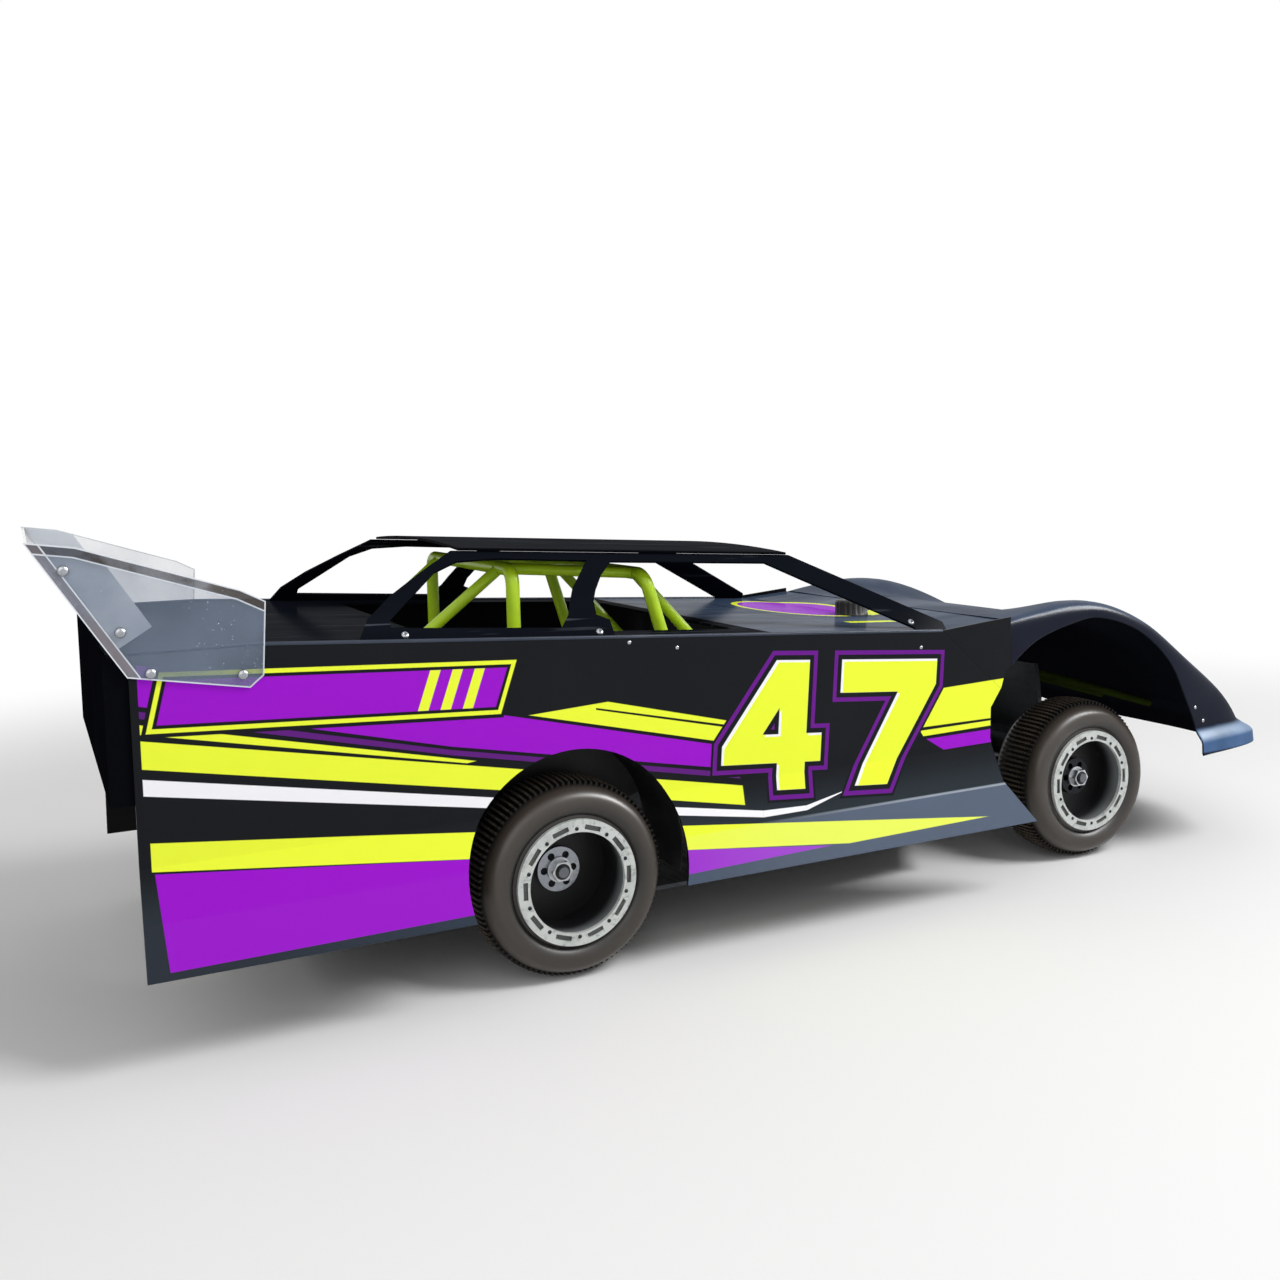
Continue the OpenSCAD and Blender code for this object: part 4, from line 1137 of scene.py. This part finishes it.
@dataclass
class BodyScrews:
    """Screws of the body: spoiler sides, window frames and panel tops, mm on either side."""

    spoiler: Outline = ((-407, 396), (-370, 347), (-350, 314), (-282, 307))
    spoiler_face: float = 224.8
    frame_along: Outline = ((118.7, 4.5), (298.8, 4.5), (652, 10.0))
    frame_foot: Place = (DECK_BEND, 212.0, 330.0)
    frame_lean: float = 42.5
    panel: Outline = ((56.7, 304.8), (105.5, 296), (386, 273))
    panel_face: float = 222.0

    def build(self, finish: Finish) -> None:
        """One piece of screws a side and kind."""
        for side in Side:
            square = (0, side.value, 0)
            on_spoiler = [(x, self.spoiler_face, z) for x, z in self.spoiler]
            on_panel = [(x, self.panel_face, z) for x, z in self.panel]
            for name, screw, places, normal in (("spoiler_screws", ButtonScrew(), on_spoiler, square),
                                                ("panel_rivets", PANEL_RIVET, on_panel, square),
                                                ("frame_screws", FRAME_SCREW, *self.on_frame(side))):
                screw.group(side.named(name), finish, side.placed(places), normal)

    def on_frame(self, side: Side) -> tuple[list[np.ndarray], Vector]:
        """Places on a window frame's foot, along the deck and up the lean, with the frame's normal."""
        a, lean = math.radians(DECK_SLOPE), math.radians(self.frame_lean)
        along = np.array([math.cos(a), 0, -math.sin(a)])
        square = np.array([math.sin(a), 0, math.cos(a)])
        up = square * math.cos(lean) - ACROSS * math.sin(lean)
        out = square * math.sin(lean) + ACROSS * math.cos(lean)
        places = [np.array(self.frame_foot) + along * x + up * z for x, z in self.frame_along]
        return places, Vector((out[0], side.value * out[1], out[2]))


@dataclass
class RingBolts:
    """Small dark bolts on a wheel's ring, half way between its recesses."""

    node: str
    body: str
    side: Side
    radius: float = 49.6 * MM
    count: int = 10

    def build(self, finish: Finish) -> None:
        """One head at each even step round the ring's outer face, square to it."""
        low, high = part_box(self.node)
        centre = (low + high) / 2
        face = high.y if self.side is Side.LEFT else low.y
        turn = (np.arange(self.count) + 0.5) * 2 * math.pi / self.count
        places = np.stack([centre.x + self.radius * np.cos(turn), np.full_like(turn, face),
                           centre.z + self.radius * np.sin(turn)], 1)
        RING_BOLT.group("bolts_" + self.node, finish, places, (0, self.side.value, 0), self.body)


@dataclass
class PanelHem:
    """The folded top edge where a side panel meets the deck, mm."""

    radius: float = 1.7
    y: float = 221.0
    tail: float = -365.0
    front: float = 414.0
    deck: float = 329.6
    soft: float = 4.0

    def build(self, finish: Finish) -> None:
        """A round bead along each side, straight to the bend and down the slope after it."""
        x = np.concatenate([np.linspace(self.tail, DECK_BEND - 12, 8),
                            np.linspace(DECK_BEND - 8, DECK_BEND + 8, 9),
                            np.linspace(DECK_BEND + 12, self.front, 40)])
        past = self.soft * np.logaddexp(0, (x - DECK_BEND) / self.soft)
        z = self.deck - past * math.tan(math.radians(DECK_SLOPE))
        for side in Side:
            path = side.placed(np.stack([x, np.full_like(x, self.y), z], 1))
            bead(path, self.radius * MM).piece(side.named("panel_hem"), finish, "car", "sheet")


@dataclass
class RoofHem:
    """The folded edge along each side of the roof."""

    radius: float = 1.3 * MM
    depth: float = 0.5 * MM

    def build(self, finish: Finish) -> None:
        """A round bead between the ends of the roof's outermost edge, taken from its solid's points."""
        mesh = frame["nodes"]["roof"].data
        points = np.empty(3 * len(mesh.vertices))
        mesh.vertices.foreach_get("co", points)
        points = points.reshape(-1, 3)
        for side in Side:
            reach = points[:, 1] * side.value
            edge = points[reach > reach.max() - self.depth]
            along = edge[:, 0]
            half_way = (along.min() + along.max()) / 2
            rear, front = edge[along < half_way].mean(axis=0), edge[along > half_way].mean(axis=0)
            path = rear + np.linspace(0, 1, 12)[:, None] * (front - rear)
            bead(path, self.radius).piece(side.named("roof_hem"), finish, "car", "sheet")


@dataclass
class WheelShadeSheet:
    """Black sheet behind each rear wheel opening, as painted shade for the dark seen through it, mm: a rim
    turned in and an inner wall.
    """

    radius: float = 107.2
    height: float = 107.25
    thick: float = 1.0
    outer: float = 218.5
    inner: float = 140.0
    wall: float = 52.0
    rim_reach: Point = (-12.0, 192.0)
    wall_reach: Point = (20.0, 160.0)
    steps: int = 72

    def strip(self, side: Side, reach: Point, span: Point, radii: Point) -> Shell:
        """A flat strip carried round the opening's middle.

        Args:
            side: side of the car.
            reach: first and last angle in degrees.
            span: least and greatest size of y.
            radii: least and greatest radius.

        Returns:
            The closed shell.
        """
        angle = np.radians(np.linspace(*reach, self.steps))
        radius = sum(radii) / 2
        path = side.placed(np.stack([radius * np.cos(angle), np.full_like(angle, sum(span) / 2),
                                     self.height + radius * np.sin(angle)], 1))
        half = np.array([span[1] - span[0], radii[1] - radii[0]]) / 2 * MM
        return swept(path, np.array([[-1, -1], [1, -1], [1, 1], [-1, 1]]) * half)

    def build(self, finish: Finish) -> None:
        """The rim round the opening and, over the axle, the wall inboard of the tyre."""
        for side in Side:
            rim = self.strip(side, self.rim_reach, (self.inner, self.outer),
                             (self.radius, self.radius + self.thick))
            wall = self.strip(side, self.wall_reach, (self.inner, self.inner + self.thick),
                              (self.radius - self.wall, self.radius + 0.5 * self.thick))
            rim.joined(wall).piece(side.named("wheel_shade_sheet"), finish, "car", "sheet", sharp=30.0)


@dataclass
class MouldedNose:
    """The moulded nose as one smooth shell with a rounded edge, mm: x from the rear axle."""

    back: float = 505.0
    length: float = 415.0
    flare: float = 22.0
    flare_side: float = 0.4
    lip: float = 115.0
    crest: float = 309.0
    crest_y: float = 198.0
    crest_in: float = 24.0
    steep: Point = (2.4, 1.4)
    crest_share: float = 0.7
    bends: Point = (0.3, 0.6)
    bend_run: float = 0.25
    thick: float = 3.0
    bulge: float = 1.6
    lip_turn: Point = (0.868, 0.07)
    rows: int = 120
    middle_cols: int = 46
    shoulder_cols: int = 30
    # Hood x, hood z, crest x, crest z, wheel opening x and wheel opening z, from join to lip.
    table: tuple[tuple[float, ...], ...] = (
        (0, 0.912, 0, 0.915, 0, 0.665),
        (0.132, 0.907, 0.1, 0.95, 0.084, 0.789),
        (0.301, 0.861, 0.232, 0.978, 0.193, 0.861),
        (0.47, 0.79, 0.362, 0.945, 0.306, 0.887),
        (0.639, 0.66, 0.505, 0.815, 0.45, 0.789),
        (0.783, 0.49, 0.652, 0.595, 0.568, 0.585),
        (0.903, 0.3, 0.803, 0.355, 0.635, 0.335),
        (0.975, 0.15, 0.878, 0.165, 0.674, 0.15),
        (1, -0.06, 0.896, 0.02, 0.682, 0))
    rivets: tuple[Place, ...] = ((782.0, 222.0, 170.0), (795.0, 222.0, 153.0))
    rivet_tilt: Point = (0.1, 0.05)

    @staticmethod
    def smooth(share: np.ndarray) -> np.ndarray:
        """Smooth step from nought to one."""
        held = np.clip(share, 0, 1)
        return held * held * (3 - 2 * held)

    def curves(self, t: np.ndarray) -> np.ndarray:
        """The table's columns at t, by a Catmull-Rom curve through its rows."""
        table = np.array(self.table)
        last = len(table) - 1
        k = np.minimum(np.floor(t * last).astype(int), last - 1)
        u = (t * last - k)[:, None]
        a, b, d, e = (table[np.clip(k + i, 0, last)] for i in (-1, 0, 1, 2))
        return b + (d - a) * u / 2 + (a - 2.5 * b + 2 * d - e / 2) * u ** 2 \
            + (1.5 * (b - d) + (e - a) / 2) * u ** 3

    def surface(self) -> np.ndarray:
        """Grid of points on the outer face, rows from join to lip and columns from right to left.

        From the middle to the crest the height rises by a smooth step and x goes by the cube of the share
        outward. Past the crest the section is a quarter of a superellipse down to the wheel opening, with
        its points at even slopes: the tangent of the angle is that of the even angle to the power of one
        over the bend. The last rows turn outward at once, by a smooth step of the flare, and then go down.
        """
        t = np.linspace(0, 1, self.rows)
        hood_x, hood_z, crest_x, crest_z, arch_x, arch_z = (c[:, None] for c in self.curves(t).T)
        bend = (self.bends[0] + (self.bends[1] - self.bends[0]) * self.smooth(t / self.bend_run))[:, None]
        u = np.concatenate([np.linspace(0, 1, self.middle_cols), np.ones(self.shoulder_cols)])
        even = np.radians(np.linspace(0, 89.99, self.shoulder_cols + 1))[1:]
        even = np.concatenate([np.zeros(self.middle_cols), even])
        shoulder = even > 0
        angle = np.arctan(np.tan(even) ** (1 / bend))
        x = np.where(shoulder, arch_x + (crest_x - arch_x) * np.cos(angle),
                     hood_x + (crest_x - hood_x) * u ** 3)
        y = np.where(shoulder, self.crest_y + self.crest_in * np.sin(angle) ** bend, self.crest_y * u)
        rise = self.smooth(self.steep[0] * u - self.steep[1])
        z = np.where(shoulder, arch_z + (crest_z - arch_z) * np.cos(angle) ** bend,
                     hood_z + (crest_z - hood_z) * rise)
        share = np.where(shoulder, self.crest_share + (1 - self.crest_share) * angle * 2 / math.pi,
                         self.crest_share * u)
        turn = math.pi / 2 * share ** 3
        out = self.flare * self.smooth((t - self.lip_turn[0]) / self.lip_turn[1])[:, None]
        half = np.stack([self.back + self.length * x + out * np.cos(turn),
                         y + self.flare_side * out * np.sin(turn),
                         self.lip + (self.crest - self.lip) * z], -1)
        right = half[:, ::-1] * np.array([1, -1, 1])
        return np.concatenate([right[:, :-1], half], axis=1)

    def shell(self) -> Shell:
        """Outer face, the same face moved in along its normals, and a half-round edge between them."""
        outer = self.surface()
        normal = np.cross(np.gradient(outer, axis=0), np.gradient(outer, axis=1))
        normal /= np.linalg.norm(normal, axis=2)[..., None]
        inner = outer - self.thick * normal
        rows, cols = outer.shape[:2]
        quads = grid_faces(rows, cols)
        ids = np.arange(rows * cols).reshape(rows, cols)
        ring = np.concatenate([ids[0, :-1], ids[:-1, -1], ids[-1, :0:-1], ids[:0:-1, 0]])
        inward = np.clip(ids // cols, 1, rows - 2) * cols + np.clip(ids % cols, 1, cols - 2)
        flat_out, flat_in = outer.reshape(-1, 3), inner.reshape(-1, 3)
        away = flat_out[ring] - flat_out[inward.reshape(-1)[ring]]
        away /= np.linalg.norm(away, axis=1)[:, None]
        away *= np.where(ring < cols, 0.0, self.bulge)[:, None]
        turn = np.linspace(0, math.pi, 7)[1:-1, None, None]
        first, last = flat_out[ring], flat_in[ring]
        edge = (first + last) / 2 + np.cos(turn) * (first - last) / 2 + np.sin(turn) * away
        count = rows * cols
        between = 2 * count + np.arange(edge.shape[0] * len(ring)).reshape(-1, len(ring))
        rim = np.concatenate([ring[None], between, ring[None] + count])
        after = np.roll(rim, -1, axis=1)
        strip = np.stack([rim[:-1], after[:-1], after[1:], rim[1:]], -1).reshape(-1, 4)
        faces = np.concatenate([quads[:, ::-1], quads + count, strip])
        points = from_axle(np.concatenate([flat_out, flat_in, edge.reshape(-1, 3)]))
        return Shell(points, faces.tolist()).outward()

    def build(self, finish: Finish, metal: Finish) -> None:
        """Makes the nose in place of its solid, and its rivets."""
        self.shell().piece("moulded_nose", finish, "car", "nose", sharp=60.0, stands_for=("nose",))
        for side in Side:
            normal = (self.rivet_tilt[0], side.value, self.rivet_tilt[1])
            NOSE_RIVET.group(side.named("nose_rivets"), metal, side.placed(self.rivets), normal)


@dataclass
class FillerCap:
    """Black knurled cap on the hood, mm: x from the rear axle."""

    place: Place = (428.0, -41.0, 287.7)
    radius: float = 19.0
    height: float = 18.0
    ribs: int = 18
    rib_depth: float = 0.07
    steps: int = 108
    # Radius and height as shares, and how much of the ribs shows, from the foot to the middle.
    profile: tuple[Place, ...] = (
        (1.0, -0.02, 0), (1.0, 0.1, 0), (0.98, 0.16, 1), (0.97, 0.78, 1), (0.94, 0.9, 0.4),
        (0.87, 0.97, 0), (0.78, 1.0, 0), (0.5, 1.0, 0), (0.46, 0.93, 0), (0.1, 0.93, 0))

    def build(self, finish: Finish) -> None:
        """A profile turned about the cap's middle, with its radius eased in between the ribs.

        Rows run from the foot up the wall, over a rounded edge and in to the middle. On the wall the radius
        is less by a share of the squared cosine of the ribs' angle.
        """
        rows = np.array(self.profile)
        rib = 1 - self.rib_depth * rows[:, 2:] * np.cos(self.ribs / 2 * turns(self.steps)) ** 2
        cap = lathe(self.radius * rows[:, :1] * rib, self.height * rows[:, 1])
        cap.points = from_axle(cap.points + np.array(self.place))
        cap.outward().piece("filler_cap", finish, "car", "case", sharp=50.0)


# Outline of a spoiler side, mm: x from the rear axle, z, and outlines that hold its top and rear edges.
SPOILER_SIDE: Outline = (
    (-433, 418), (-367, 311.9), (-277, 296), (-265.9, 305), (-262, 364), (-281, 374), (-397.9, 413))
SPOILER_TOP: Outline = (
    (-900, 484.5), (-397.9, 413), (-281, 374), (200, 121), (200, -500), (-900, -500))
SPOILER_REAR: Outline = ((-763, 948.5), (-37, -218.6), (2000, -218.6), (2000, 948.5))


def blade_face() -> Place:
    """Unit normal of the spoiler blade, square to the diagonal of its box seen from the side."""
    low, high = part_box("spoiler_blade")
    size = high - low
    length = math.hypot(size.x, size.z)
    return (size.z / length, 0.0, size.x / length)


@dataclass
class RaceCar:
    """The whole car: finishes on its solids, and the pieces that dress it."""

    finishes: dict[str, Finish] = field(default_factory=lambda: {
        "wrap": PrintedWrap("printed_wrap"),
        "sheet": GlossSheet("gloss_sheet"),
        "tail": GlossSheet("tail_sheet", ink("0B0C10"), ink("20242C"), 0.12, 0.3, 0.0, 0.0),
        # Painted reflection: the hood's blue-grey tone and strong pale streaks stand in for blue skylight
        # on the dark gloss sheet.
        "hood": HoodSheet("hood_sheet_painted_reflection", ink("36445A"), ink("8A96A6"), 0.5, 0.2, 0.25),
        # Painted highlight: the hem's paler grey-blue tone and streaks stand in for light caught along the
        # folded edge.
        "hem": GlossSheet("hem_sheet_painted_highlight", ink("3A414E"), ink("6A7180"), 0.4, 0.2, 0.3, 0.3),
        "nose": MouldedShell("moulded_nose_plastic"),
        "clear": ClearSheet("clear_sheet", outline=SPOILER_SIDE, strips=(
            EdgeStrip(SPOILER_TOP, 7.0, ink("3C3531"), (0.7, 0.98)),
            EdgeStrip(SPOILER_REAR, 7.0, ink("857A7C"), (0.5, 0.8)))),
        "clear_left": ClearSheet("clear_sheet_left", outline=SPOILER_SIDE, hazy=(0.1, 0.2)),
        "blade": ClearSheet("clear_blade", blade_face(), band=410.0, hazy=(0.14, 0.28)),
        "bracket": ClearSheet("clear_bracket", blade_face(), ink("B4BCC8")),
        "lime": PowderCoat("lime_powder_coat"),
        # Painted shade: the nose brace is the cage's lime powder coat, painted dark green for the shade
        # inside the nose.
        "brace": PowderCoat("lime_powder_coat_painted_shade", ink("26300F"), ink("1A210C"), 0.0),
        "alloy": Metal("plate_alloy", ink("4A4D51"), 0.42),
        "tank": Plastic("tank_plastic", ink("2B2D2F"), 0.42),
        "case": Plastic("case_plastic", ink("141517"), 0.5),
        "steel": AxleSteel("axle_steel"),
        "tyre": Rubber("tyre_rubber"),
        "rim": RimPlastic("rim_plastic"),
        "hub": Metal("hub_alloy", ink("90949C"), 0.15, EVEN, 0.2),
        "front_hub": Metal("front_hub_alloy", ink("2A2C30"), 0.3, EVEN, 0.4),
        "bolt": Metal("bolt_steel", ink("34363A"), 0.35, EVEN, 0.5),
        "screw": Metal("screw_steel", ink("A9ACB1"), 0.2, EVEN, 0.3),
    })
    by_node: dict[str, str] = field(default_factory=lambda: {
        "hood": "hood", "spoiler_blade": "blade", "spoiler_side_left": "clear_left",
        "tail_panel": "tail", "nose_brace": "brace",
        "front_hub_right": "front_hub", "front_hub_left": "front_hub"})

    def dress(self) -> None:
        """Gives each solid the finish of its slot."""
        slots = {row["node"]: row["material_slot"] for row in frame["record"]["subparts"]}
        for name, made in frame["nodes"].items():
            finish = self.finishes[self.by_node.get(name, slots[name])]
            made.data.materials.clear()
            made.data.materials.append(finish.material())

    def build(self) -> None:
        """Dresses the solids and adds the pieces."""
        self.dress()
        for end, side, body in WHEELS:
            PinTyre(side.named(end + "_tyre"), body).build(self.finishes["tyre"])
        for end, side, body in WHEELS:
            RingBolts(side.named(end + "_rim"), body, side).build(self.finishes["bolt"])
        MouldedNose().build(self.finishes["nose"], self.finishes["screw"])
        for maker, finish in ((FillerCap(), "case"), (BodyScrews(), "screw"), (PanelHem(), "hem"),
                              (RoofHem(), "tail"), (WheelShadeSheet(), "case")):
            maker.build(self.finishes[finish])


def main() -> None:
    """Builds camera, studio and car in order."""
    logging.basicConfig(level=logging.INFO, format="%(message)s")
    bpy.context.scene.view_settings.view_transform = "Standard"
    PhotoCamera().build()
    Studio().build()
    RaceCar().build()


if __name__ == "__main__":
    main()
